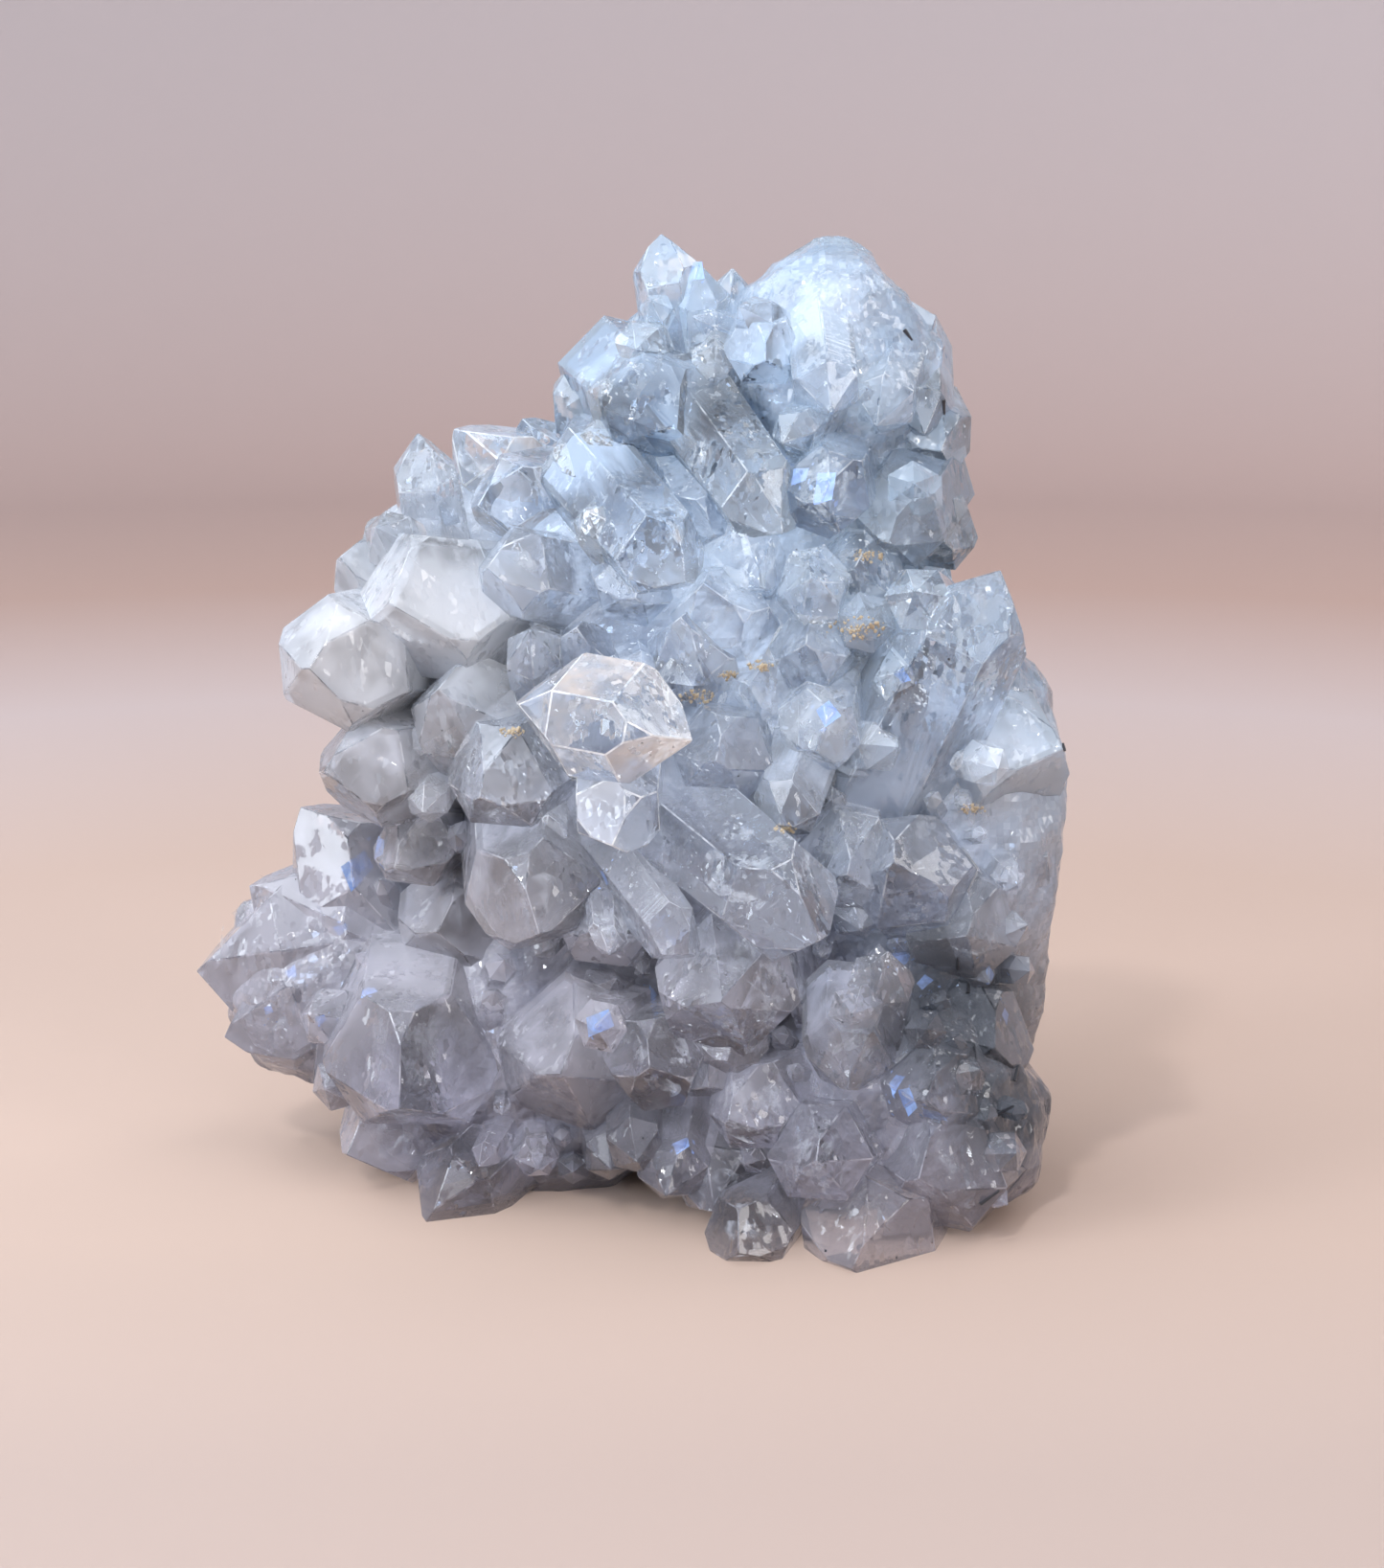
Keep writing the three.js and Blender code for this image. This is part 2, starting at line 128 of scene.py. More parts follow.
def drawn(spot):
    """Where a place in the cluster's own frame stands on the front drawing."""
    off = spot - SIGHT_SPOT
    shrink = (EYE_DISTANCE - off.dot(NEAR)) / EYE_DISTANCE
    return SIGHT_ACROSS + off.dot(RIGHT) / shrink, SIGHT_UP + off.dot(UP) / shrink


def chance(seed, draw):
    wave = math.sin(seed * 12.9898 + draw * 78.233) * 43758.5453
    return wave - math.floor(wave)


# ---------- Solids bounded by planes ----------


def corners_inside(planes):
    normals = np.array([tuple(normal) for normal, _ in planes])
    reach = np.array([out for _, out in planes])
    trios = np.array(list(combinations(range(len(planes)), 3)))
    spread = np.abs(np.linalg.det(normals[trios]))
    trios = trios[spread > 1e-5]
    spots = np.linalg.solve(normals[trios], reach[trios][..., None])[..., 0]
    spots = spots[(spots @ normals.T <= reach + 1e-6).all(axis=1)]
    kept = []
    for spot in spots:
        if all(np.sum((spot - other) ** 2) > 1e-6 for other in kept):
            kept.append(spot)
    return [Vector(spot) for spot in kept]


def hull(corners, owner, bevel=0.0):
    """A bmesh of the convex solid round these corners, its edges worn by the bevel's width."""
    bm = bmesh.new()
    for corner in corners:
        bm.verts.new(corner)
    made = bmesh.ops.convex_hull(bm, input=bm.verts)
    unused = made["geom_interior"] + made["geom_unused"]
    loose = {g for g in unused if isinstance(g, bmesh.types.BMVert)}
    bmesh.ops.delete(bm, geom=list(loose), context="VERTS")
    bmesh.ops.dissolve_limit(bm, angle_limit=math.radians(0.5), verts=bm.verts, edges=bm.edges)
    stamp(bm, owner)
    if bevel:
        worn = bmesh.ops.bevel(
            bm, geom=bm.edges[:], offset=bevel, segments=1, affect="EDGES", clamp_overlap=True
        )
        layer = bm.faces.layers.int["crystal"]
        for face in worn["faces"]:
            face[layer] = owner + EDGE_MARK
    bmesh.ops.triangulate(bm, faces=bm.faces)
    bmesh.ops.recalc_face_normals(bm, faces=bm.faces)
    return bm


# ---------- The layout on the front drawing: places are across, up and near ----------

# Each crystal's tip, root, width, spin in degrees, and extras.
CRYSTALS = [
    # Crown: a spire, and points that hang over the hollow below it
    (2.6, 109.6, -7, 6.5, 88, -13, 7.6, 20),
    (6.4, 106, -5, 7, 90, -13, 6.6, 35),
    (10, 105.6, -11, 9.5, 97, -16, 6, 0),
    (13.4, 95.6, 4, 13.6, 99.5, -13, 7.4, 30),
    (20.3, 90.2, 6, 18.6, 102, -8, 6.6, 5),
    (25, 89, 2, 27.5, 99, -12, 6.5, 0),
    (30, 88, -3, 29, 98, -15, 6.5, 25),
    (4.6, 88.6, 4, -2, 94.5, -14, 11, 12),
    (8, 93, 0, 8.5, 100, -12, 5.5, 0),
    (-6.8, 95.8, -10, -5.5, 84, -16, 5, 0),
    (-1.8, 98.8, -11, 1, 88, -18, 6, 0),

    # Left shoulder: a tooth, a window-clear point and two big milky ones
    (-22.6, 88.6, -5, -20.2, 73, -11, 8.6, 10, {"flat": 0.8}),
    (-19.4, 89.3, -9, -9.5, 80, -16, 9, 28),
    (-12, 90, -12, -6, 80, -18, 7, 0),
    (-26.4, 70.6, 11, -14.5, 69.5, -14, 15.6, 24),
    (-34.2, 63.6, 12, -24.5, 65, -14, 12.6, 5),
    (-31, 75.5, -3, -22, 70, -16, 8, 0),
    (-16.8, 80.6, 0, -6, 82, -14, 8.4, 16),
    (-16, 74.6, 9, -4, 72, -9, 8.4, 10),

    # Upper middle: long prisms that run down to the right
    (15.6, 77.4, 9, 4.5, 92.5, -7, 8.6, 22),
    (5.4, 72.4, 11, -5.5, 84.5, -6, 9, 20),
    (-6, 83, 2, -1, 90, -14, 8, 0),
    (0, 71, 8, -2, 76, -12, 8, 15),
    (12.8, 72, 8, 9, 81, -10, 8.4, 20),
    (8.4, 77.4, 6, 4, 86, -11, 7.4, 44),
    (19.2, 81, 12, 21.5, 85, -10, 8.4, 10),
    (14.5, 90, -2, 16, 95, -18, 9, 0),
    (12.5, 81.5, 2, 12, 88, -16, 7.5, 33),
    (26, 77, 5, 30, 84, -12, 9, 18),
    (32, 86, -3, 29, 91, -16, 8, 0),
    (32.5, 77, -1, 29, 80, -16, 8, 20),

    # Middle: the clear doubly ended crystal and those that hold it
    (6.4, 56.4, 18, -13, 60, 11, 12, 20, {"double": True, "flat": 0.88}),
    (-2.4, 44.8, 17, -1.5, 57, 2, 8.8, 2),
    (-11.2, 67.8, 8, -9, 58, -6, 6, 0),
    (-6.5, 68.5, 6, -5, 58, -8, 7.4, 12),
    (6.9, 73, 10, 12, 63, -8, 8.6, 26),
    (4.5, 69.4, 9, 7, 57, -6, 8.4, 14),
    (8.5, 54, 14, 10, 57, -10, 9.2, 20),
    (15, 47.2, 13, 18, 57, -6, 7.2, 38, {"flat": 0.7}),
    (18.2, 73.5, 10, 19.5, 69, -10, 7.4, 42),
    (22.4, 74.5, 6, 23, 71, -10, 9.6, 8),
    (17.4, 66.4, 8, 19, 64, -10, 8, 25),
    (18.6, 55, 9, 20, 63, -10, 8.8, 12),
    (12, 62, 7, 13, 60, -10, 7.5, 0),

    # Middle: the big prisms that reach down to the right
    (19.8, 35.4, 21, -0.5, 52, -6, 11.6, 40, {"flat": 0.92}),
    (5.6, 33.6, 15, -6, 49, -6, 7, 10, {"flat": 0.75}),
    (-2.8, 33.8, 10, -3.4, 42.6, 0, 4.2, 30, {"flat": 0.7}),
    (-10.5, 35.5, 11, -11, 49, -10, 13.2, 48),
    (-16.8, 50.4, 13, -9, 56, -8, 10.4, 30),
    (-20.5, 62, 9, -12, 52.5, -12, 11.5, 15),
    (-33, 52.6, 6, -19, 54.5, -11, 11, 12),
    (-22.4, 48.6, 4, -20, 54, -8, 4, 5),
    (-25.5, 43, -1, -20, 48, -14, 8.5, 30),
    (-4, 36.5, 8, -1, 38, -10, 9, 24),
    (8.6, 28.6, 17, 11, 34, -10, 13, 15),

    # Left: a wing of blunt milky points
    (-47.4, 32.2, -22, -24, 36, -28, 18, 14),
    (-43.8, 25.4, -20, -24, 33, -26, 13, 35),
    (-41.4, 41.5, -21, -24, 35, -28, 16, 4),
    (-35.6, 49.5, -19, -24, 37, -26, 13, 22),
    (-34.5, 20.4, -15, -24, 30, -25, 12, 48),

    # Lower middle
    (1.4, 21.8, 12, 3, 25, -10, 9.8, 38),
    (9.4, 22.4, 9, 10, 31, -10, 7.6, 10),
    (7.6, 19.6, 6, 8.4, 29, -12, 7, 32),
    (-4.4, 26.2, 9, 0, 28, -8, 5.2, 20),
    (0, 12.2, 5, 0.5, 19, -10, 5.8, 15),
    (3, 8.6, 5, 5.5, 19, -10, 6.8, 45),
    (-8.6, 21.6, 6, -5, 26, -14, 14.6, 12),
    (-24.4, 17.4, 4, -22.5, 29, -18, 16, 30),
    (-22.2, 5.8, -4, -13, 14.5, -16, 9.4, 8),
    (-30.4, 12.4, -9, -22, 18, -20, 11, 25),
    (-21, 36, -5, -17, 38, -20, 13, 10),

    # Right: a tall leaning prism and the clear blocks beside and below it
    (38.2, 75, 7, 25.5, 50, -8, 13, 15),
    (29, 71.8, 12, 32, 69, -6, 6.4, 26),
    (45.4, 55, 0, 33, 54, -14, 14, 30),
    (43.6, 44, -5, 35, 42, -16, 12, 8),
    (27, 44, 9, 31, 40, -12, 12.5, 34),
    (34, 36, 5, 33, 38, -14, 11, 12),
    (22, 42, 8, 22, 46, -10, 10, 18),
    (22, 19.4, 11, 22.5, 30, 0, 8.4, 25),
    (22.5, 27.6, 12, 23.5, 30, -6, 5.2, 44),
    (9.4, 16.6, 9, 18, 20.5, -8, 9.6, 36),
    (18.2, 12.4, 14, 22, 15, -8, 10.4, 28),
    (30, 18.4, 11, 32, 22, -8, 9.8, 12),
    (38, 24, 2, 34, 26, -14, 11, 20),
    (29.4, 9.8, 11, 34.5, 15, -10, 12.8, 22),
    (22.8, 0.4, 11.5, 27, 11, -9, 13, 8),
    (10.2, 2.4, 10, 15, 9.5, -8, 8.8, 40),
    (8, 6.6, 3, 10.5, 17, -12, 9.4, 22),
]

# Middle on the front drawing, half width, half depth and half height, and number of corners.
LUMPS = [
    ((6, 54, -19), (31, 21, 41), 64),
    ((20, 93, -12), (13.6, 13, 17), 60),
    ((21, 80, -17), (15.8, 15, 18), 30),
    ((5, 88, -18), (13, 12, 17), 30),
    ((-13, 70, -19), (20, 14, 18), 34),
    ((31.5, 43, -17), (17, 15, 32), 50),
    ((26, 17, -9), (18.5, 15, 17), 44),
    ((-12, 23, -21), (20.5, 16, 19), 40),
    ((-30, 31.5, -27), (16, 12.5, 14.5), 44),
    ((4, 44, -29), (31, 17, 42), 40),
    ((8, 78, -25), (23, 14, 25), 30),
]

# Flat breaks: heading round from +X, rise, and distance from the middle of the mass.
BREAKS = [
    (88, 4, 30), (62, -8, 33), (118, 10, 34), (95, 34, 43), (84, -30, 49), (40, 18, 42),
    (150, -10, 53), (12, -4, 43.5), (128, 42, 52), (58, 40, 56),
]
FRONT_BOUNDS = [
    (-90, 0, CLEAR_REACH), (-20, 60, CLEAR_REACH), (-160, 60, CLEAR_REACH), (-90, -60, CLEAR_REACH),
    (200, 0, CLEAR_REACH), (-20, 0, CLEAR_REACH),
]

# The milky rind stays smooth inside these circles on the drawing: across, up, radius.
SMOOTH = [
    (15, 106, 5), (22, 103, 7), (28, 98, 7), (33, 91, 6), (36, 84, 5), (39, 77, 5), (43, 68, 5),
    (45, 37, 6), (44, 28, 5), (-37, 42, 9), (-42, 33, 8), (-34, 33, 6), (-38, 26, 7),
]

# Soft zones on the front drawing: middle across and up, radius, strength.
CLEAR = [
    (-3, 59, 9, 1.0), (-1, 49, 6, 0.9), (13, 42, 9, 1.0), (18, 36, 5, 1.0), (-21, 81, 7, 0.8),
    (-15, 85, 7, 0.9), (-2, 39, 4, 0.8), (-22, 20, 9, 1.0), (2, 21, 6, 0.7), (22, 15, 9, 0.6),
    (36, 68, 6, 0.6), (8, 61, 6, 0.5), (-17, 8, 5, 0.7), (0, 78, 7, 0.7), (10, 84, 7, 0.5),
    (-3.5, 87, 5, 0.6), (-12, 76, 5, 0.5),
]
# Crystals with a hairline of air round their foot, so that their back faces mirror: their tips.
LOOSE = [
    (2.6, 109.6), (4.6, 88.6), (-22.6, 88.6), (-19.4, 89.3), (-16, 74.6), (-34.2, 63.6), (15.6, 77.4),
    (5.4, 72.4), (26, 77), (6.4, 56.4), (-2.4, 44.8), (6.9, 73), (8.5, 54), (15, 47.2),
    (22.4, 74.5), (17.4, 66.4), (19.8, 35.4), (5.6, 33.6), (-2.8, 33.8), (-10.5, 35.5), (-16.8, 50.4),
    (-33, 52.6), (8.6, 28.6), (1.4, 21.8), (0, 12.2), (3, 8.6), (-24.4, 17.4), (-22.2, 5.8),
    (38.2, 75), (45.4, 55), (22, 19.4), (9.4, 16.6), (18.2, 12.4), (30, 18.4), (38, 24),
    (29.4, 9.8), (22.8, 0.4), (10.2, 2.4), (27, 44),
]
# The clearest of them have sharp bright edges, partly painted highlight, and on some a few
# faces carry a painted pale peach reflection of the ground.
CRISP = [(6.4, 56.4), (-2.4, 44.8), (-19.4, 89.3)]
PAINTED_REFLECTION_TIPS = [(6.4, 56.4), (-19.4, 89.3)]
SPARKLING = [
    (6.2, 100, 4, 1.0), (4, 95.5, 5, 1.0), (1.4, 91, 5, 1.0), (-5.2, 83.5, 5, 1.0), (5, 86, 13, 0.7),
    (20, 85, 6, 0.6), (22, 97, 5, 0.7), (25, 100, 9, 0.6), (17.3, 72.7, 4, 1.0),
    (26.5, 58.5, 6, 0.8), (13.5, 39.5, 5, 1.0), (-13, 52, 4, 0.8), (31, 66, 6, 0.6), (6, 30, 5, 0.7),
    (22, 31, 6, 0.6), (-35, 33, 8, 0.6), (29, 21, 6, 0.6), (30, 62, 9, 0.9), (-4, 78, 7, 0.8),
    (18, 73, 7, 0.7), (26, 88, 7, 0.6), (-19, 85, 5, 0.6), (-1, 60, 6, 0.6),
]
MILKY = [
    (22, 103, 12, 0.15), (-22, 70, 10, 0.9), (-31, 64, 9, 0.9), (-31, 12, 8, 0.8),
    (-26, 53, 7, 0.25), (-21.5, 81, 5, 0.5), (-22, 35, 9, 0.5), (-7, 21, 9, 0.4), (-38, 34, 14, 0.4),
    (43, 30, 10, 0.6), (42, 52, 8, 0.5),
]
# Darker zones: at the lower right the stone's own smoky colour and dark minerals; under the crown and
# under the foot, painted shade.
DARK = [
    (34, 27, 9, 1.0), (38, 18, 7, 1.0), (29, 32, 6, 0.3), (8, 92, 3.5, 0.8), (30, 83, 8, 0.3),
    (-1, 11, 7, 0.5), (12, 8, 5, 0.5), (20, 16, 6, 0.35), (12, 82, 6, 0.25),
]

# Marks on the front drawing. Rust: across, up, radius.
RUST = [
    (23, 67.8, 2.2), (13.1, 64, 1.0), (6.3, 60.8, 1.3), (24, 75.5, 1.2), (9.5, 63, 0.8),
    (35, 49, 1.0), (15.5, 47, 0.9), (-13, 57, 0.9),
]
# Dark mineral needles: across, up, length, turn on the drawing in degrees.
NEEDLES = [
    (38.3, 17.5, 3.0, 2), (36.8, 8.5, 2.4, 35), (33.5, 33, 2.2, 80), (28.3, 98.5, 1.4, -50),
    (32, 91, 1.6, -65), (44.5, 55.5, 0.9, 70), (34.6, 30.5, 1.6, 100), (39.6, 21.5, 1.8, 60),
]
# Inner faces with a painted blue reflection: across, up, half width.
PAINTED_BLUE_REFLECTIONS = [
    (6, 104.9, 1.3), (-4, 26.5, 1.7), (4.5, 14, 1.3), (1.8, 29.5, 1.5), (19.5, 82.5, 2.0),
    (17, 84, 1.2), (-29, 43, 2.2), (-27, 45, 1.5), (-36, 32, 0.8), (-33, 27, 0.7), (-38.5, 28, 0.7),
    (-28, 30, 1.0), (-31, 36.5, 0.9), (28, 18.5, 1.6), (31, 17, 1.3), (27, 20.5, 1.1),
    (27.5, 33.5, 1.2), (30, 31, 0.9), (37, 32, 0.9), (38.5, 27.5, 0.8), (20, 59, 1.2),
    (27.5, 63, 1.0), (38.5, 73, 1.6), (-3.5, 42, 0.9),
]

# ---------- Crystals ----------


def sides_round(axis, spin):
    level = RIGHT if abs(axis.x) < 0.8 else Vector((0, 0, 1))
    first = (level - axis * level.dot(axis)).normalized()
    second = axis.cross(first)
    turns = [math.radians(spin + 360 / SIDES * i) for i in range(SIDES)]
    return [first * math.cos(turn) + second * math.sin(turn) for turn in turns]


def axis_and_length(c):
    along = c["tip"] - c["root"]
    return along.normalized(), along.length


def crystal_planes(c):
    axis, _ = axis_and_length(c)
    width, seed, double = c["width"], c["seed"], c.get("double", False)
    planes = []

    def add(normal, through, out):
        planes.append((normal, normal.dot(through) + out))

    for i, side in enumerate(sides_round(axis, c["spin"])):
        squeeze = c.get("flat", 1) if i % (SIDES // 2) == 0 else 1
        half = width / 2 * squeeze * (1 + PRISM_UNEVEN * (chance(seed, i) - 0.5))
        taper = 0 if double else PRISM_TAPER
        add(side * math.cos(taper) + axis * math.sin(taper), c["tip"] - axis * width, half)
        share = -MAJOR_BITE if i % 2 == 0 else MINOR_STEP
        step = [0 if width < PLAIN_BELOW else share * width * chance(seed, i + n) for n in (10, 20)]
        lean, rise = side * math.sin(POINT_NORMAL), math.cos(POINT_NORMAL)
        add(lean + axis * rise, c["tip"], step[0])
        if double:
            add(lean - axis * rise, c["root"], step[1])
    if not double:
        add(-axis, c["root"], 0)
    return planes


# ---------- The milky mass ----------


def lump_corners(lump, seed, inset=0.0):
    middle, half, corners = lump
    golden = math.pi * (3 - math.sqrt(5))
    spots = []
    for i in range(corners):
        rise = 1 - (2 * i + 1) / corners
        turn = golden * i + seed
        level = math.sqrt(1 - rise * rise)
        reach = 1 - WEAR * chance(seed, i) ** 2
        spot = Vector((level * math.cos(turn), level * math.sin(turn), rise))
        spots.append(place(middle) + Vector((s * (h - inset) for s, h in zip(spot, half))) * reach)
    return spots


def block_corners(inset=0.0):
    planes = []
    for heading, climb, reach in BREAKS + FRONT_BOUNDS:
        turn, rise = math.radians(heading), math.radians(climb)
        level = math.cos(rise)
        normal = Vector((level * math.cos(turn), level * math.sin(turn), math.sin(rise)))
        planes.append((normal, normal.dot(MASS_MIDDLE) + reach - inset))
    return corners_inside(planes)


def meet_lumps(start, along, share=1.0):
    """Where a line first meets a lump, and which way the lump faces there."""
    best = None
    for middle, half, _ in LUMPS:
        centre = place(middle)
        size = Vector(half) * share

        def scale(v):
            return Vector((v.x / size.x, v.y / size.y, v.z / size.z))

        p, q = scale(start - centre), scale(along)
        a, b = q.dot(q), p.dot(q)
        gap = b * b - a * (p.dot(p) - 1)
        if gap <= 0:
            continue
        far = (-b - math.sqrt(gap)) / a
        if best and best[0] < far:
            continue
        at = start + along * far
        best = (far, at, scale(scale(at - centre)).normalized())
    return best


# ---------- Small crystals that crowd the gaps ----------


def from_segment(point, start, end):
    along = end - start
    share = max(0, min(1, (point - start).dot(along) / along.dot(along)))
    return (point - start - along * share).length


def stays_smooth(spot):
    across, up = drawn(spot)
    return any(math.hypot(across - x, up - y) < radius for x, y, radius in SMOOTH)


def scatter(large, source, step, rows, columns, lean, behind, seed, widths=SMALL_WIDTH):
    toward = -source
    across = toward.cross(Vector((0, 0, 1))).normalized()
    upward = across.cross(toward)
    made = []
    for row in range(rows):
        for column in range(columns):
            n = seed + row * columns + column

            def roll(draw):
                return chance(n, draw) - 0.5

            start = (
                MASS_MIDDLE
                + source * OUTSIDE
                + across * (column - (columns - 1) / 2 + (row % 2) / 2 + 0.5 * roll(1)) * step
                + upward * (row - (rows - 1) / 2 + 0.5 * roll(2)) * step
            )
            met = meet_lumps(start, toward)
            if not met or met[1].z < LOWEST_ROOT or met[1].y > behind or stays_smooth(met[1]):
                continue
            jitter = Vector((roll(3), roll(4), roll(5))) * TUMBLE
            axis = (met[2] * (1 - lean) + NEAR * lean + jitter).normalized()
            width = widths[0] + widths[1] * chance(n, 6)
            length = width * (SMALL_LENGTH[0] + SMALL_LENGTH[1] * chance(n, 7))
            tip, root = met[1] + axis * length, met[1] - axis * BURIED
            sight = (tip - EYE).normalized()
            if not meet_lumps(tip - sight * OUTSIDE, sight, INSET):
                continue
            crowded = any(
                from_segment(tip, c["root"], c["tip"]) < c["width"] * 0.5 + width * 0.25
                for c in large + made
            )
            if crowded or tip.z < LOWEST_TIP:
                continue
            spin = 60 * chance(n, 8)
            made.append({"tip": tip, "root": root, "width": width, "spin": spin, "seed": n})
    return made


def layout():
    large = []
    for i, row in enumerate(CRYSTALS):
        mark = row[:2]
        crystal = {"tip": place(row[:3]), "root": place(row[3:6]), "width": row[6], "spin": row[7]}
        crystal |= {"seed": i + 1, "loose": mark in LOOSE, "crisp": mark in CRISP, "ground_reflection": mark in PAINTED_REFLECTION_TIPS}
        crystal.update(*row[8:])
        large.append(crystal)
    left = Vector((-0.9, -0.35, 0.25)).normalized()
    small = scatter(large, NEAR, 7, rows=15, columns=14, lean=0.45, behind=50, seed=100)
    small += scatter(large, left, 11, rows=9, columns=7, lean=0.1, behind=11, seed=500)
    steps = [step for c in large if c["width"] > STEPPED_FROM for step in growth_steps(c)]
    crop = {"rows": 30, "columns": 28, "lean": 0.35, "behind": 40, "seed": 2000}
    fine = scatter(large + small, NEAR, 3.6, widths=FINE_WIDTH, **crop)
    return large + small + steps + fine


def growth_steps(c):
    """Thin crystals grown along a large one's sides, their points a step below its own."""
    axis, length = axis_and_length(c)
    width, seed = c["width"], c["seed"]
    made = []
    for k in range(2):
        side = sides_round(axis, c["spin"] + 30)[int(6 * chance(seed, 60 + k))]
        if side.dot(NEAR) < -0.3:
            continue
        out = side * width * (0.3 + 0.08 * chance(seed, 62 + k))
        drop_by = width * (0.5 + 0.6 * chance(seed, 64 + k))
        made.append(
            {
                "tip": c["tip"] - axis * drop_by + out,
                "root": c["tip"] - axis * min(length * 0.9, drop_by + width * 1.2) + out * 0.8,
                "width": width * (0.26 + 0.16 * chance(seed, 66 + k)),
                "spin": c["spin"],
                "seed": seed + 70 + k,
            }
        )
    return made


# ---------- Meshes ----------


def stamp(bm, owner):
    """Marks every face with the number of the crystal it belongs to; the mass has 0."""
    layer = bm.faces.layers.int.new("crystal")
    for face in bm.faces:
        face[layer] = owner


def to_object(bm, name, scale=MM):
    mesh = bpy.data.meshes.new(name)
    bmesh.ops.scale(bm, vec=(scale,) * 3, verts=bm.verts)
    bm.to_mesh(mesh)
    bm.free()
    obj = bpy.data.objects.new(name, mesh)
    bpy.context.scene.collection.objects.link(obj)
    return obj


def apply_modifiers(obj):
    graph = bpy.context.evaluated_depsgraph_get()
    mesh = bpy.data.meshes.new_from_object(obj.evaluated_get(graph))
    old = obj.data
    obj.modifiers.clear()
    obj.data = mesh
    bpy.data.meshes.remove(old)


def drop(obj):
    mesh = obj.data
    bpy.data.objects.remove(obj)
    bpy.data.meshes.remove(mesh)


def boolean_modifier(obj, operation):
    modifier = obj.modifiers.new("join", "BOOLEAN")
    modifier.operation = operation
    modifier.solver = "MANIFOLD"
    return modifier


def boolean(obj, other, operation):
    boolean_modifier(obj, operation).object = other
    apply_modifiers(obj)
    drop(other)
    return obj


def join_all(objects):
    """One closed skin round all these solids."""
    first, others = objects[0], objects[1:]
    group = bpy.data.collections.new("joined")
    for other in others:
        group.objects.link(other)
    modifier = boolean_modifier(first, "UNION")
    modifier.operand_type = "COLLECTION"
    modifier.collection = group
    apply_modifiers(first)
    bpy.data.collections.remove(group)
    for other in others:
        drop(other)
    return first


def remesh(obj, cell):
    modifier = obj.modifiers.new("remesh", "REMESH")
    modifier.mode = "VOXEL"
    modifier.voxel_size = cell * MM
    smooth = obj.modifiers.new("smooth", "SMOOTH")
    smooth.factor = 0.5
    smooth.iterations = 4
    apply_modifiers(obj)


def mass_solid(name, inset=0.0):
    lumps = []
    for i, lump in enumerate(LUMPS):
        lumps.append(to_object(hull(lump_corners(lump, i + 1, inset), 0), "lump"))
    block = to_object(hull(block_corners(inset), 0), "block")
    mass = boolean(join_all(lumps), block, "INTERSECT")
    mass.name = name
    return mass


def roughen(obj, coarse, fine, seed):
    """Gives the mass its broken, granular surface."""
    mesh = obj.data
    shift = Vector((seed, 2 * seed, -seed))
    pushed = []
    for spot, normal in [(v.co / MM, v.normal.copy()) for v in mesh.vertices]:
        wide = noise.fractal(spot * 0.09 + shift, 0.9, 2.1, 3)
        near, next_near = noise.voronoi(spot * 0.3 + shift)[0][:2]
        grain = noise.noise(spot * 0.8 + shift)
        push = coarse * (wide - 0.35) + fine * (1.3 * (near - next_near) + 0.35 * grain)
        pushed.extend((spot + normal * push) * MM)
    mesh.vertices.foreach_set("co", pushed)
    mesh.update()


# ---------- The outer skin: every crystal and the mass, as one clear solid ----------


def zone_strength(spots, zones):
    """How strong these soft zones are at each place, from 0 to 1."""
    sight, right = np.array(SIGHT_SPOT), np.array(RIGHT)
    off = spots - sight
    shrink = (EYE_DISTANCE - off @ np.array(NEAR)) / EYE_DISTANCE
    across = SIGHT_ACROSS + off @ right / shrink
    up = SIGHT_UP + off @ np.array(UP) / shrink
    total = np.zeros(len(spots))
    for middle_across, middle_up, radius, strength in zones:
        away = ((across - middle_across) ** 2 + (up - middle_up) ** 2) / radius**2
        total = np.maximum(total, strength * np.exp(-(away**1.5)))
    return total


def read(items, name, width=1, kind=np.float64):
    """One value, or one row of values, for each vertex, face or corner."""
    values = np.zeros(len(items) * width, dtype=kind)
    items.foreach_get(name, values)
    return values.reshape(-1, width) if width > 1 else values


def owners(mesh):
    """The number of the crystal that each face is marked with."""
    return read(mesh.attributes["crystal"].data, "value", kind=np.int32)


def corner_places(mesh):
    """The face and the vertex of each corner, by number."""
    sizes = read(mesh.polygons, "loop_total", kind=np.int32)
    return np.repeat(np.arange(len(sizes)), sizes), read(mesh.loops, "vertex_index", kind=np.int32)


def write_values(mesh, values, domain):
    for name, data in values.items():
        made = mesh.attributes.new(name, "FLOAT", domain)
        made.data.foreach_set("value", data.astype(np.float32))


def zone_points(obj):
    """Writes the milky and dark zones on a mesh's points."""
    spots = read(obj.data.vertices, "co", 3) / MM
    values = {"milk": MILKY, "dark": DARK, "clear": CLEAR, "broken": SPARKLING}
    values = {name: zone_strength(spots, zones) for name, zones in values.items()}
    cloud = [noise.fractal(Vector(spot) * 0.12, 0.7, 2.1, 3) for spot in spots]
    values["cloud"] = np.clip(0.5 + 0.9 * np.array(cloud), 0, 1)
    # Painted light: 'blue' grows towards the top and the right, where the cool light falls.
    values["blue"] = np.clip((spots[:, 2] - 25) / 60 + spots[:, 0] / 110, 0, 1)
    # Painted shade: 'lift' grows with height, and the colours are darkened below it.
    values["lift"] = np.clip((spots[:, 2] - 5) / 48, 0, 1)
    values["broken"] = np.maximum(values["broken"], BROKEN_ALL * (1 - 0.5 * values["milk"]))
    write_values(obj.data, values, "POINT")


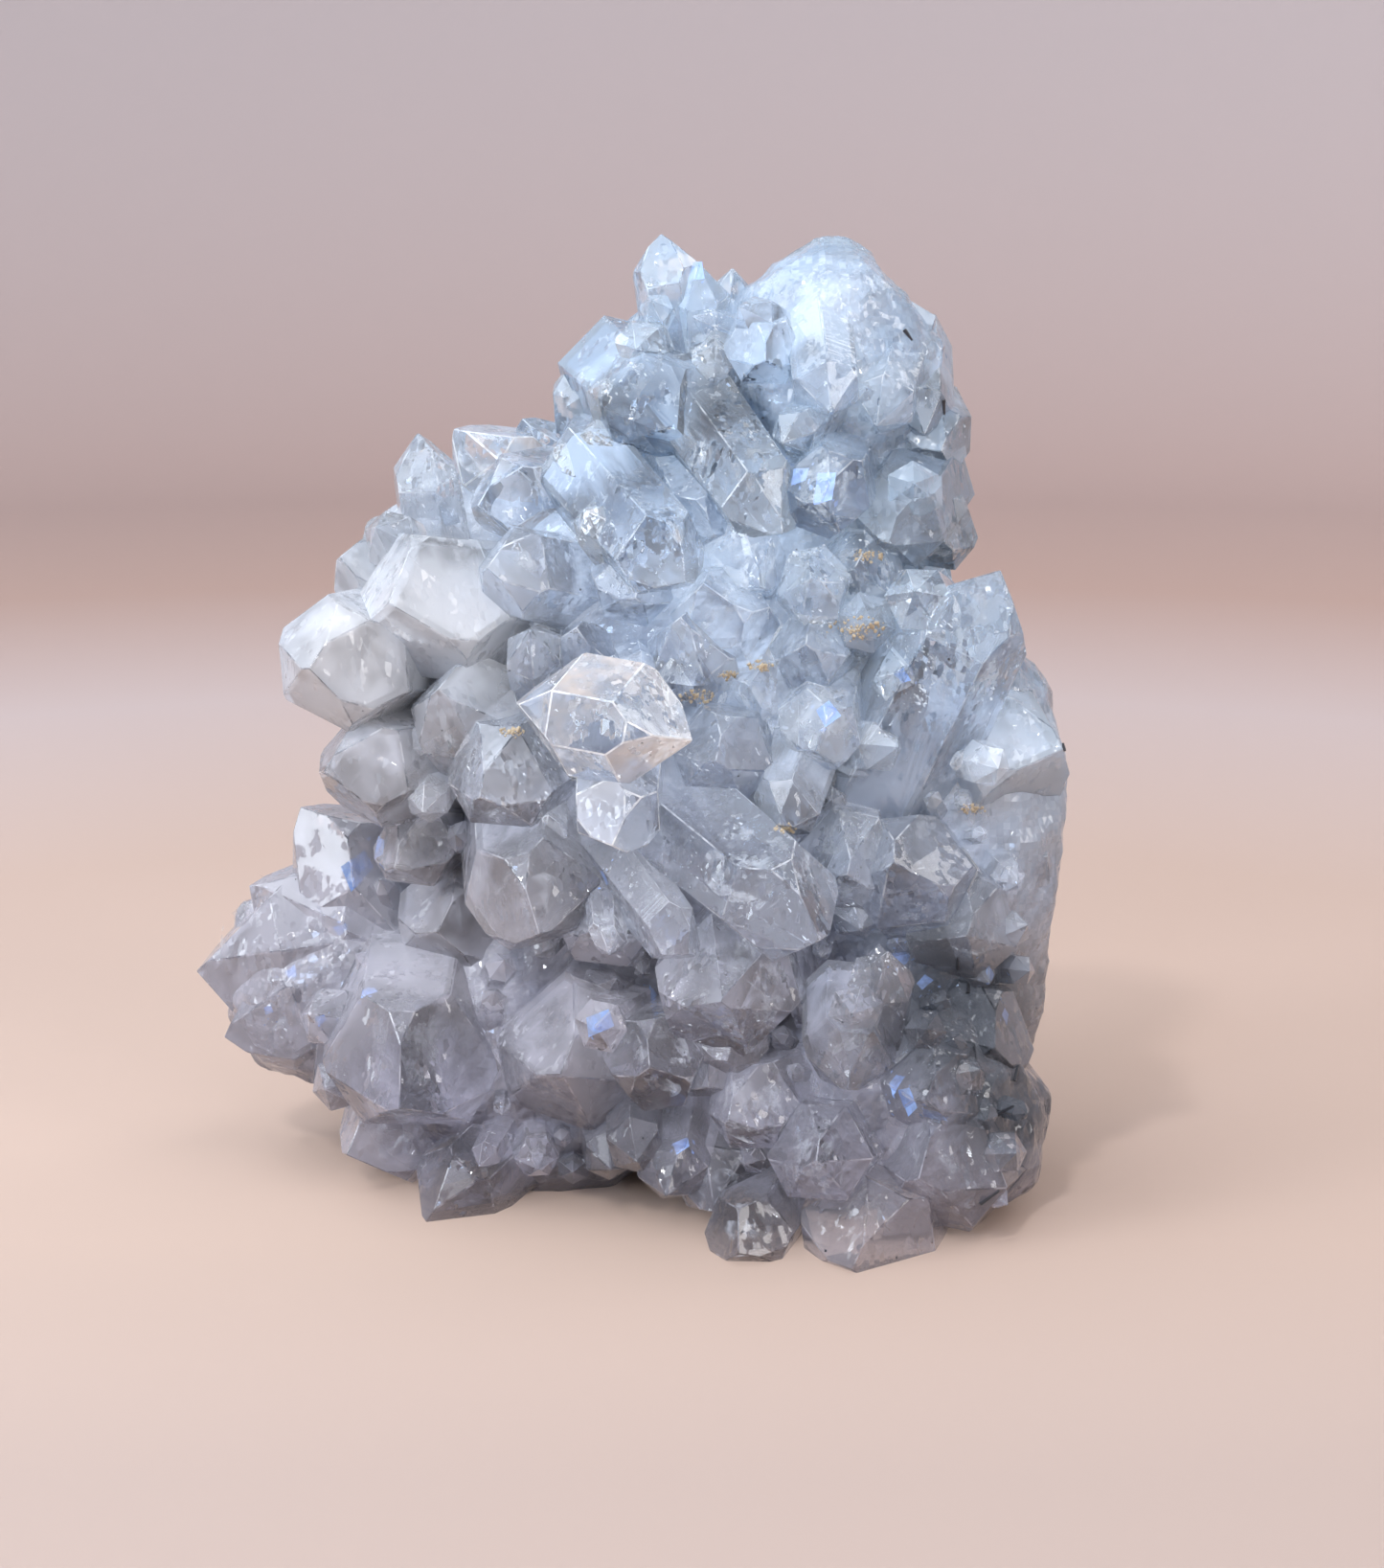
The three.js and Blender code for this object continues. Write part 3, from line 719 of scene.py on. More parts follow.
def classify(obj, everything):
    """Writes on the skin how clear each place is, and how far it lies along its crystal."""
    mesh = obj.data
    face, vertex = corner_places(mesh)
    owner = owners(mesh)[face]
    spots = read(mesh.vertices, "co", 3)[vertex] / MM
    normals = read(mesh.polygons, "normal", 3)[face]
    worn, who = owner >= EDGE_MARK, owner % EDGE_MARK
    axial, prism, tone, crisp, ground_reflection = np.zeros((5, len(owner)))
    for i, c in enumerate(everything):
        mine = who == i + 1
        crisp[mine] = float(c.get("crisp", False))
        ground_reflection[mine] = float(c.get("ground_reflection", False))
        axis, _ = axis_and_length(c)
        axial[mine] = (spots[mine] - np.array(c["root"])) @ np.array(axis)
        prism[mine] = 1 - np.abs(normals[mine] @ np.array(axis)) / math.cos(POINT_NORMAL)
        tone[mine] = chance(i, 40)
    values = {"axial": axial, "prism": np.clip(prism, 0, 1), "tone": tone}
    facet = np.round(normals @ np.array((3.1, 7.7, 5.3)), 2)
    draw = np.sin(facet * 12.9898) * 43758.5453
    values["facet"] = draw - np.floor(draw)
    values["ground_reflection"] = ground_reflection * (values["facet"] > 0.66)
    values["crisp"] = crisp
    values["worn"] = worn * (1 + crisp)
    write_values(mesh, values, "CORNER")
    zone_points(obj)


def floor_block():
    bm = bmesh.new()
    bmesh.ops.create_cube(bm, size=300)
    bmesh.ops.translate(bm, verts=bm.verts, vec=(0, 0, -150))
    stamp(bm, 0)
    return to_object(bm, "floor_block")


def crystal_solid(i, c, grow=0.0):
    bevel = EDGE_WEAR if c["width"] > 5 else EDGE_WEAR * 0.7
    if c.get("crisp"):
        bevel = CRISP_EDGE
    planes = [(normal, out + grow) for normal, out in crystal_planes(c)]
    return to_object(hull(corners_inside(planes), i + 1, bevel), "crystal")


def crystal_skin(everything):
    """The mass and the crystals as one skin; a loose crystal is a shell of its own in its socket."""
    crystals, sockets, loose = [], [], []
    for i, c in enumerate(everything):
        if c.get("loose"):
            sockets.append(crystal_solid(i, c, HAIRLINE))
            loose.append(crystal_solid(i, c))
        else:
            crystals.append(crystal_solid(i, c))
    mass = mass_solid("mass")
    remesh(mass, MASS_GRAIN)
    roughen(mass, coarse=1.1, fine=0.3, seed=3)
    mass.data.attributes.new("crystal", "INT", "FACE")
    skin = join_all([mass] + crystals)
    boolean(skin, join_all(sockets), "DIFFERENCE")
    skin = boolean(join_meshes([skin, join_all(loose)], "quartz_skin"), floor_block(), "DIFFERENCE")
    classify(skin, everything)
    of_mass = (owners(skin.data) == 0).astype(np.int32)
    skin.data.polygons.foreach_set("material_index", of_mass)
    return skin


# ---------- What shows inside: milky core, fog in the crystals' feet, cracks and glints ----------


def cut_foot(obj):
    """Takes away what reaches below the foot."""
    bm = bmesh.new()
    bm.from_mesh(obj.data)
    everything_in = bm.verts[:] + bm.edges[:] + bm.faces[:]
    bmesh.ops.bisect_plane(
        bm, geom=everything_in, plane_co=(0, 0, FOOT_INSET * MM), plane_no=(0, 0, -1), clear_outer=True
    )
    bm.to_mesh(obj.data)
    bm.free()


def milky_core():
    core = mass_solid("milky_core", inset=CORE_INSET)
    remesh(core, CORE_GRAIN)
    roughen(core, coarse=0.8, fine=0.6, seed=8)
    block = floor_block()
    block.location.z = FOOT_INSET * MM
    boolean(core, block, "DIFFERENCE")
    zone_points(core)
    return core


def fog_bodies(everything):
    """A faceted milky body inside each crystal, which thins out towards the point."""
    bodies = []
    for i, c in enumerate(everything):
        if c["width"] < FOGGED_FROM:
            continue
        gap = 0.3 + 0.06 * c["width"]
        planes = [(normal, out - gap) for normal, out in crystal_planes(c)]
        bodies.append(to_object(hull(corners_inside(planes), i + 1), "fog"))
    fog = join_meshes(bodies, "fog_bodies")
    cells = fog.modifiers.new("cells", "SUBSURF")
    cells.subdivision_type = "SIMPLE"
    cells.levels = 3
    apply_modifiers(fog)
    cut_foot(fog)
    zone_points(fog)
    haze_points(fog, everything)
    return fog


def haze_points(fog, everything):
    """How milky each place of a fog body is: dense at its foot, thin and wispy near its point."""
    mesh = fog.data
    count = len(mesh.vertices)
    of_vertex = np.zeros(count, dtype=np.int32)
    face, vertex = corner_places(mesh)
    of_vertex[vertex] = owners(mesh)[face]
    milk, clear = (
        read(mesh.attributes[name].data, "value", kind=np.float32) for name in ("milk", "clear")
    )
    haze = np.zeros(count)
    for k, v in enumerate(mesh.vertices):
        c = everything[of_vertex[k] - 1]
        along = c["tip"] - c["root"]
        spot = v.co / MM
        share = (spot - c["root"]).dot(along) / along.dot(along)
        reach = 0.42 + 0.3 * chance(of_vertex[k], 40) + 0.6 * milk[k] - 0.5 * clear[k]
        wisp = noise.fractal(spot * 0.22, 0.8, 2.2, 3)
        haze[k] = min(max((reach - share + 0.35 * wisp) / 0.5 + 0.2, 0), 1)
    haze = np.minimum(1.06 * haze * haze * (3 - 2 * haze), 1)
    write_values(mesh, {"haze": haze}, "POINT")
    bm = bmesh.new()
    bm.from_mesh(mesh)
    bm.verts.ensure_lookup_table()
    clear_faces = [f for f in bm.faces if all(haze[v.index] < 0.02 for v in f.verts)]
    bmesh.ops.delete(bm, geom=clear_faces, context="FACES")
    bm.to_mesh(mesh)
    bm.free()


def join_meshes(objects, name):
    """One mesh that holds these meshes side by side."""
    bm = bmesh.new()
    for obj in objects:
        bm.from_mesh(obj.data)
        drop(obj)
    return to_object(bm, name, 1)


def glints(everything):
    """Small flat air cracks inside the crystals, in clusters that flash together; their near-white is
    painted glint.
    """
    bm = bmesh.new()
    for i, c in enumerate(everything):
        width = c["width"]
        if width < GLINTS_FROM:
            continue
        axis, length = axis_and_length(c)
        first, second = cross_basis(axis)
        sparkle = zone_strength(np.array([c["tip"] - axis * width * 0.7]), SPARKLING)[0]
        planes = crystal_planes(c)
        for cluster in range(1 + int(width * 0.9 * sparkle)):
            seed = 40 * i + cluster

            def wander(draw):
                return Vector([chance(seed, draw + way) for way in range(3)]) - HALF

            back = width * 0.45 + (length - width) * 0.7 * chance(seed, 410)
            turn = 2 * math.pi * chance(seed, 411)
            out = width * (0.2 + 0.2 * chance(seed, 412))
            centre = c["tip"] - axis * back + (first * math.cos(turn) + second * math.sin(turn)) * out
            facing = (NEAR + wander(420) * 1.6).normalized()
            along, _ = cross_basis(facing)
            for k in range(3 + int(18 * sparkle * chance(seed, 413))):
                middle = centre + wander(430 + 9 * k) * width * 0.5
                side, short = max(((n, n.dot(middle) - out) for n, out in planes), key=lambda p: p[1])
                middle -= side * (short + RIM[0] + RIM[1] * chance(seed, 437 + 9 * k))
                normal = (facing + wander(433 + 9 * k) * 0.7).normalized()
                v = normal.cross(along).normalized()
                size = 0.06 + 0.42 * chance(seed, 436 + 9 * k) ** 2.5
                shape = {"corners": 6, "uneven": 0.55, "dome": size * 0.1, "thin": 0.45}
                add_patch(bm, middle, normal, size, seed + k, along=v, **shape)
    return to_object(bm, "glints")


def cross_basis(axis):
    first = axis.orthogonal().normalized()
    return first, axis.cross(first)


def add_sheet(bm, middle, normal, radius, seed, rings=5, spokes=20):
    """A round sheet with a wavering outline, gently curved."""
    u, v = cross_basis(normal)
    centre = bm.verts.new(middle)
    last = None
    for ring in range(1, rings + 1):
        row = []
        for spoke in range(spokes):
            t = 2 * math.pi * spoke / spokes
            edge = 1 + 0.35 * noise.noise(Vector((math.cos(t), math.sin(t), seed)))
            out = radius * edge * ring / rings
            flat = u * math.cos(t) * out + v * math.sin(t) * out
            lift = 0.12 * radius * noise.noise((middle + flat) * 0.45)
            row.append(bm.verts.new(middle + flat + normal * lift))
        for s in range(spokes):
            n = (s + 1) % spokes
            inner = (last[s], row[s], row[n], last[n]) if last else (centre, row[s], row[n])
            bm.faces.new(inner)
        last = row


def healed_cracks(everything):
    """Thin curved sheets inside the larger crystals, where old cracks have healed cloudy."""
    bm = bmesh.new()
    for i, c in enumerate(everything):
        if c["width"] < CRACKED_FROM:
            continue
        axis, length = axis_and_length(c)
        first, second = cross_basis(axis)
        for k in range(2):
            share = 0.35 + 0.45 * chance(i, 100 + k)
            turn = 2 * math.pi * chance(i, 110 + k)
            around = first * math.cos(turn) + second * math.sin(turn)
            normal = (axis * (0.3 + 0.7 * chance(i, 120 + k)) + around * 0.9).normalized()
            radius = c["width"] * (0.2 + 0.14 * chance(i, 130 + k))
            add_sheet(bm, c["root"] + axis * length * share, normal, radius, i + 3.1 * k)
    for face in bm.faces:
        face.smooth = True
    return to_object(bm, "healed_cracks")


# ---------- Marks: rust, dark needles and specks, and painted blue reflections on inner faces ---


def front_hit(tree, across, up):
    """The place on the skin that stands there on the front drawing, and its normal."""
    sight = (place((across, up, 0)) - EYE).normalized()
    spot, normal, _, _ = tree.ray_cast(EYE * MM, sight)
    return (spot / MM, normal) if spot else (None, None)


def add_patch(bm, middle, normal, radius, seed, corners=9, uneven=0.5, dome=0.0, along=None, thin=1):
    """A small flat patch with an uneven outline, square to the normal, thinned across one way."""
    u, v = cross_basis(normal)
    if along is not None:
        u, v = along, normal.cross(along)
    ring = []
    for s in range(corners):
        t = 2 * math.pi * (s + 0.5 * chance(seed + s, 6)) / corners
        reach = radius * (1 - uneven * chance(seed + s, 5))
        ring.append(bm.verts.new(middle + (u * math.cos(t) + v * math.sin(t) * thin) * reach))
    top = bm.verts.new(middle + normal * dome)
    for s in range(corners):
        bm.faces.new((ring[s], ring[(s + 1) % corners], top))


def rust_grains(tree):
    """A thin crust of rusty grains in the gaps between the crystals, thicker at its middle."""
    bm = bmesh.new()
    for i, (across, up, radius) in enumerate(RUST):
        for k in range(int(70 * radius)):
            turn = 2 * math.pi * chance(i, 20 + k)
            out = radius * chance(i, 320 + k) ** 0.8
            near = (across + 1.5 * out * math.cos(turn), up + 0.6 * out * math.sin(turn))
            spot, _ = front_hit(tree, *near)
            if spot:
                size = 0.05 + 0.2 * chance(i, 620 + k) ** 3
                grain = bmesh.ops.create_icosphere(
                    bm, subdivisions=1, radius=size, matrix=Matrix.Translation(spot)
                )
                for v in grain["verts"]:
                    v.co += noise.noise_vector(v.co * 3) * size * 0.5
    return to_object(bm, "rust_grains")


def dark_needles(tree):
    """Needles of a dark mineral, and specks of it in the crystals' faces."""
    bm = bmesh.new()
    for across, up, length, turn in NEEDLES:
        spot, normal = front_hit(tree, across, up)
        if not spot:
            continue
        along = RIGHT * math.cos(math.radians(turn)) + UP * math.sin(math.radians(turn))
        along = (along - normal * along.dot(normal)).normalized()
        frame_of = along.to_track_quat("Z", "Y").to_matrix().to_4x4()
        bmesh.ops.create_cone(
            bm, cap_ends=True, segments=6, radius1=0.24, radius2=0.12, depth=length,
            matrix=Matrix.Translation(spot + normal * 0.05) @ frame_of,
        )
    left, wide, tall = SPECKS_OVER
    for k in range(SPECKS):
        across, up = left + wide * chance(k, 31), tall * chance(k, 32)
        spot, normal = front_hit(tree, across, up)
        if not spot:
            continue
        size = 0.05 + 0.12 * chance(k, 33) ** 3
        matrix = Matrix.Translation(spot - normal * 0.1) @ Matrix.Diagonal((size, size * 1.6, size, 1))
        bmesh.ops.create_icosphere(bm, subdivisions=1, radius=1, matrix=matrix)
    return to_object(bm, "dark_needles")


# Painted reflection: small blue patches just under the faces, standing in for a blue light mirrored
# inside.
def painted_blue_reflections(tree):
    bm = bmesh.new()
    for i, (across, up, radius) in enumerate(PAINTED_BLUE_REFLECTIONS):
        spot, normal = front_hit(tree, across, up)
        if not spot:
            continue
        at = spot - normal * 0.2
        add_patch(bm, at, normal, 1.45 * radius, 3 * i, corners=4, uneven=0.35, thin=0.8)
        for k in range(5):
            near = (across + 3.6 * (chance(i, 50 + k) - 0.5), up + 3.6 * (chance(i, 60 + k) - 0.5))
            spot, normal = front_hit(tree, *near)
            if spot:
                size = radius * (0.12 + 0.3 * chance(i, 70 + k))
                add_patch(bm, spot - normal * 0.15, normal, size, 5 * i + k, corners=4, thin=0.6)
    return to_object(bm, "painted_blue_reflections")


# ---------- Materials ----------


def new_material(name):
    material = bpy.data.materials.new(name)
    material.use_nodes = True
    tree = material.node_tree
    shader = tree.nodes["Principled BSDF"]
    return material, tree, shader


def fill(tree, made, inputs):
    """Sets a node's sockets, each to a value or to what another socket gives."""
    for key, value in inputs.items():
        if isinstance(value, bpy.types.NodeSocket):
            tree.links.new(value, made.inputs[key])
        else:
            made.inputs[key].default_value = value


def node(tree, kind, inputs=None, **settings):
    made = tree.nodes.new(kind)
    for key, value in settings.items():
        setattr(made, key, value)
    fill(tree, made, inputs or {})
    return made


def attribute(tree, name):
    return node(tree, "ShaderNodeAttribute", attribute_name=name).outputs["Fac"]


def math_node(tree, operation, a, b=0.0, clamp=False):
    inputs = {0: a, 1: b}
    return node(tree, "ShaderNodeMath", inputs, operation=operation, use_clamp=clamp).outputs[0]


def vector_node(tree, operation, inputs):
    return node(tree, "ShaderNodeVectorMath", inputs, operation=operation).outputs[0]


def span(tree, value, low, high, to_low, to_high):
    inputs = {"Value": value, "From Min": low, "From Max": high, "To Min": to_low, "To Max": to_high}
    return node(tree, "ShaderNodeMapRange", inputs).outputs["Result"]


def blend(tree, share, a, b):
    return node(tree, "ShaderNodeMix", {0: share, 6: a, 7: b}, data_type="RGBA").outputs[2]


def shade_towards_foot(tree, color):
    """Painted shade: the colour darkens towards the foot, where less light falls from above."""
    foot = math_node(tree, "SUBTRACT", 1.0, attribute(tree, "lift"))
    inputs = {0: foot, 6: color, 7: (0.66, 0.64, 0.69, 1)}
    return node(tree, "ShaderNodeMix", inputs, data_type="RGBA", blend_type="MULTIPLY").outputs[2]


def object_noise(tree, scale, detail=3.0, roughness=0.5):
    spot = node(tree, "ShaderNodeTexCoord").outputs["Object"]
    inputs = {"Vector": spot, "Scale": scale, "Detail": detail, "Roughness": roughness}
    return node(tree, "ShaderNodeTexNoise", inputs).outputs["Fac"]


def mix_value(tree, share, a, b):
    return node(tree, "ShaderNodeMix", {0: share, 2: a, 3: b}, data_type="FLOAT").outputs[0]


def bump_surface(tree, shader, height, strength, distance):
    bumps = {"Height": height, "Strength": strength, "Distance": distance}
    fill(tree, shader, {"Normal": node(tree, "ShaderNodeBump", bumps).outputs["Normal"]})


def growth_lines(tree):
    """The height of the fine lines that run across the prism faces."""
    steps = {"W": attribute(tree, "axial"), "Scale": 2.2, "Detail": 3.0}
    lines = node(tree, "ShaderNodeTexNoise", steps, noise_dimensions="1D").outputs["Fac"]
    return math_node(tree, "MULTIPLY", lines, attribute(tree, "prism"))


def broken_faces(tree, shader):
    """Small splintered facets, each tilted its own way, on the places that are broken."""
    spot = node(tree, "ShaderNodeTexCoord").outputs["Object"]
    turning = {"Vector": spot, "Rotation": (0.5, 0.8, 0.2), "Scale": (1.0, 1.0, 0.45)}
    turned = node(tree, "ShaderNodeMapping", turning).outputs["Vector"]
    cells = node(tree, "ShaderNodeTexVoronoi", {"Vector": turned, "Scale": 1700.0}).outputs["Color"]
    tilt = vector_node(tree, "SUBTRACT", {0: cells, 1: (0.5, 0.5, 0.5)})
    patches = span(tree, object_noise(tree, 330, 3, 0.6), 0.5, 0.56, 0.0, 1.0)
    share = math_node(tree, "MULTIPLY", patches, attribute(tree, "broken"))
    share = math_node(tree, "MULTIPLY", share, SPLINTER_TILT)
    push = vector_node(tree, "SCALE", {0: tilt, "Scale": share})
    bumped = shader.inputs["Normal"].links[0].from_socket
    tilted = vector_node(tree, "ADD", {0: bumped, 1: push})
    fill(tree, shader, {"Normal": vector_node(tree, "NORMALIZE", {0: tilted})})


def absorb(tree):
    """The faint blue-grey tint that light picks up on its way through."""
    tint = {"Color": (0.74, 0.83, 0.92, 1), "Density": 14.0}
    inside = node(tree, "ShaderNodeVolumeAbsorption", tint).outputs[0]
    fill(tree, tree.nodes["Material Output"], {"Volume": inside})


def crystal_material():
    material, tree, shader = new_material("quartz_crystal")
    milk, clear, cloud = (attribute(tree, name) for name in ("milk", "clear", "cloud"))
    worn = attribute(tree, "worn")
    # Painted reflection: on a few faces of the clearest crystals, patches of the ground's pale peach,
    # as if mirrored.
    reflection_patches = span(tree, object_noise(tree, 240, 3, 0.6), 0.36, 0.6, 0.15, 1.0)
    ground_reflection = math_node(tree, "MULTIPLY", attribute(tree, "ground_reflection"), reflection_patches)
    body_clear = span(tree, cloud, 0.2, 0.8, 0.72, 0.88)
    body_clear = mix_value(tree, milk, body_clear, 0.5)
    body_clear = mix_value(tree, clear, body_clear, 0.95)
    facet = math_node(tree, "POWER", attribute(tree, "facet"), 2.0)
    body_clear = math_node(tree, "SUBTRACT", body_clear, math_node(tree, "MULTIPLY", facet, 0.1))
    # Painted highlight: on the clearest crystals some facets are whitened, as if they caught the light.
    painted_highlight = math_node(tree, "MULTIPLY", span(tree, facet, 0, 1, 0.0, 0.25), attribute(tree, "crisp"))
    body_clear = math_node(tree, "SUBTRACT", body_clear, painted_highlight)
    body_clear = mix_value(tree, ground_reflection, body_clear, 0.68)
    chips = span(tree, object_noise(tree, 500, 2), 0.4, 0.65, 0.92, 0.45)
    see_through = mix_value(tree, math_node(tree, "MINIMUM", worn, 1.0), body_clear, chips)
    # On the clearest crystals the edges are whitened in patches: partly chipped, frosted quartz, partly
    # painted highlight.
    flaws = span(tree, object_noise(tree, 420, 3, 0.6), 0.4, 0.58, 0.15, 1.0)
    sharp = math_node(tree, "SUBTRACT", worn, 1.0, clamp=True)
    chipped_and_highlit_edge = math_node(tree, "MULTIPLY", sharp, flaws)
    see_through = mix_value(tree, chipped_and_highlit_edge, see_through, 0.2)
    tree.links.new(see_through, shader.inputs["Transmission Weight"])
    # Painted light and shade: bluer towards the top and the right, where the cool light falls, and
    # darker towards the foot.
    low = blend(tree, cloud, (0.78, 0.775, 0.83, 1), (0.93, 0.925, 0.96, 1))
    high = blend(tree, cloud, (0.7, 0.83, 0.97, 1), (0.93, 0.965, 1.0, 1))
    color = shade_towards_foot(tree, blend(tree, attribute(tree, "blue"), low, high))
    # The dark zones: partly smoky stone, partly painted shade.
    color = blend(tree, attribute(tree, "dark"), color, (0.2, 0.21, 0.24, 1))
    color = blend(tree, ground_reflection, color, (1.0, 0.88, 0.8, 1))
    color = blend(tree, chipped_and_highlit_edge, color, (0.98, 0.99, 1.0, 1))
    tree.links.new(color, shader.inputs["Base Color"])
    frost = span(tree, object_noise(tree, 260, 3, 0.6), 0.45, 0.62, 0.03, 0.22)
    haze = mix_value(tree, attribute(tree, "tone"), 0.03, frost)
    haze = mix_value(tree, milk, haze, 0.24)
    fill(tree, shader, {"Roughness": mix_value(tree, clear, haze, 0.02), "IOR": QUARTZ_IOR})
    bump_surface(tree, shader, growth_lines(tree), 0.14, FACE_RELIEF)
    broken_faces(tree, shader)
    absorb(tree)
    return material


def mass_material():
    material, tree, shader = new_material("quartz_mass")
    patches = object_noise(tree, 110, 3, 0.6)
    milk = attribute(tree, "milk")
    see_through = mix_value(tree, milk, span(tree, patches, 0.4, 0.7, 0.6, 0.85), 0.5)
    tree.links.new(see_through, shader.inputs["Transmission Weight"])
    # Painted light and shade: bluer towards the top and the right, where the cool light falls, and
    # darker towards the foot.
    low = blend(tree, patches, (0.46, 0.45, 0.5, 1), (0.68, 0.67, 0.72, 1))
    high = blend(tree, patches, (0.36, 0.42, 0.5, 1), (0.56, 0.63, 0.72, 1))
    color = shade_towards_foot(tree, blend(tree, attribute(tree, "blue"), low, high))
    # The dark zones: partly smoky stone, partly painted shade.
    color = blend(tree, attribute(tree, "dark"), color, (0.1, 0.105, 0.12, 1))
    fill(tree, shader, {"Base Color": color, "Roughness": 0.22, "IOR": QUARTZ_IOR})
    bump_surface(tree, shader, object_noise(tree, 700, 3, 0.65), 0.35, FACE_RELIEF)
    broken_faces(tree, shader)
    absorb(tree)
    return material


def milk_color(tree):
    cloud = attribute(tree, "cloud")
    shade = span(tree, cloud, 0.25, 0.75, 0.0, 1.0)
    low = blend(tree, shade, (0.24, 0.23, 0.265, 1), (0.56, 0.545, 0.6, 1))
    high = blend(tree, shade, (0.13, 0.21, 0.33, 1), (0.48, 0.59, 0.74, 1))
    # Painted light and shade: bluer towards the top and the right, where the cool light falls, and
    # darker towards the foot.
    plain = blend(tree, attribute(tree, "blue"), low, high)
    milky = shade_towards_foot(tree, blend(tree, attribute(tree, "milk"), plain, (0.64, 0.63, 0.64, 1)))
    # The dark zones: partly smoky stone, partly painted shade.
    return blend(tree, attribute(tree, "dark"), milky, (0.05, 0.055, 0.065, 1))


def milk_material():
    material, tree, shader = new_material("milky_core")
    bump_surface(tree, shader, object_noise(tree, 500, 2, 0.7), 0.6, CORE_RELIEF)
    fill(tree, shader, {"Base Color": milk_color(tree), "Roughness": 0.45})
    return material


def fog_material():
    material, tree, shader = new_material("fog_bodies")
    haze = attribute(tree, "haze")
    fill(tree, shader, {"Base Color": milk_color(tree), "Roughness": 0.6, "Alpha": haze})
    return material


def speckled_material(name, scale, detail, dark, light, roughness):
    """A material whose colour wanders between two shades."""
    material, tree, shader = new_material(name)
    color = blend(tree, object_noise(tree, scale, detail), (*dark, 1), (*light, 1))
    fill(tree, shader, {"Base Color": color, "Roughness": roughness})
    return material, tree, shader


def crack_material():
    made = speckled_material("healed_cracks", 200, 1, (0.82, 0.87, 0.93), (0.97, 0.98, 1.0), 0.25)
    material, tree, shader = made
    wisps = span(tree, object_noise(tree, 300, 3, 0.6), 0.5, 0.66, 0.0, 0.5)
    fill(tree, shader, {"Alpha": wisps})
    return material


def glint_material():
    # Painted glint: near-white, so the cracks shine whatever light reaches them.
    made = speckled_material("glints", 900, 1, (0.9, 0.95, 1.0), (1.0, 1.0, 1.0), 0.28)
    made[2].inputs["Metallic"].default_value = 0.15
    return made[0]


def blue_reflection_material():
    # The colour of the painted blue reflections.
    made = speckled_material("painted_blue_reflection", 500, 2, (0.2, 0.36, 0.9), (0.5, 0.68, 1.0), 0.25)
    material, tree, shader = made
    fill(tree, shader, {"Alpha": span(tree, object_noise(tree, 700, 2), 0.35, 0.6, 0.45, 0.95)})
    return material


# ---------- Build ----------

everything = layout()
skin = crystal_skin(everything)
core = milky_core()
fog = fog_bodies(everything)
cracks = healed_cracks(everything)
sparks = glints(everything)
cut_foot(cracks)
cut_foot(sparks)
surface = BVHTree.FromObject(skin, bpy.context.evaluated_depsgraph_get())
rust = rust_grains(surface)
needles = dark_needles(surface)
blue_reflections = painted_blue_reflections(surface)
for piece in (skin, blue_reflections, cracks, sparks):
    piece.visible_shadow = False

rust_shades = (0.4, 0.29, 0.18), (0.72, 0.62, 0.46)
dark_shades = (0.015, 0.016, 0.02), (0.06, 0.06, 0.07)
for piece, materials in (
    (skin, (crystal_material(), mass_material())),
    (core, (milk_material(),)),
    (fog, (fog_material(),)),
    (cracks, (crack_material(),)),
    (sparks, (glint_material(),)),
    (rust, speckled_material("rust", 900, 2, *rust_shades, 0.8)[:1]),
    (needles, speckled_material("dark_mineral", 1500, 2, *dark_shades, 0.35)[:1]),
    (blue_reflections, (blue_reflection_material(),)),
):
    piece.data.materials.clear()
    for material in materials:
        piece.data.materials.append(material)
    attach(piece, "root")
    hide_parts("quartz_cluster")

# ---------- Stage: a pale floor that curves up into a soft backdrop ----------


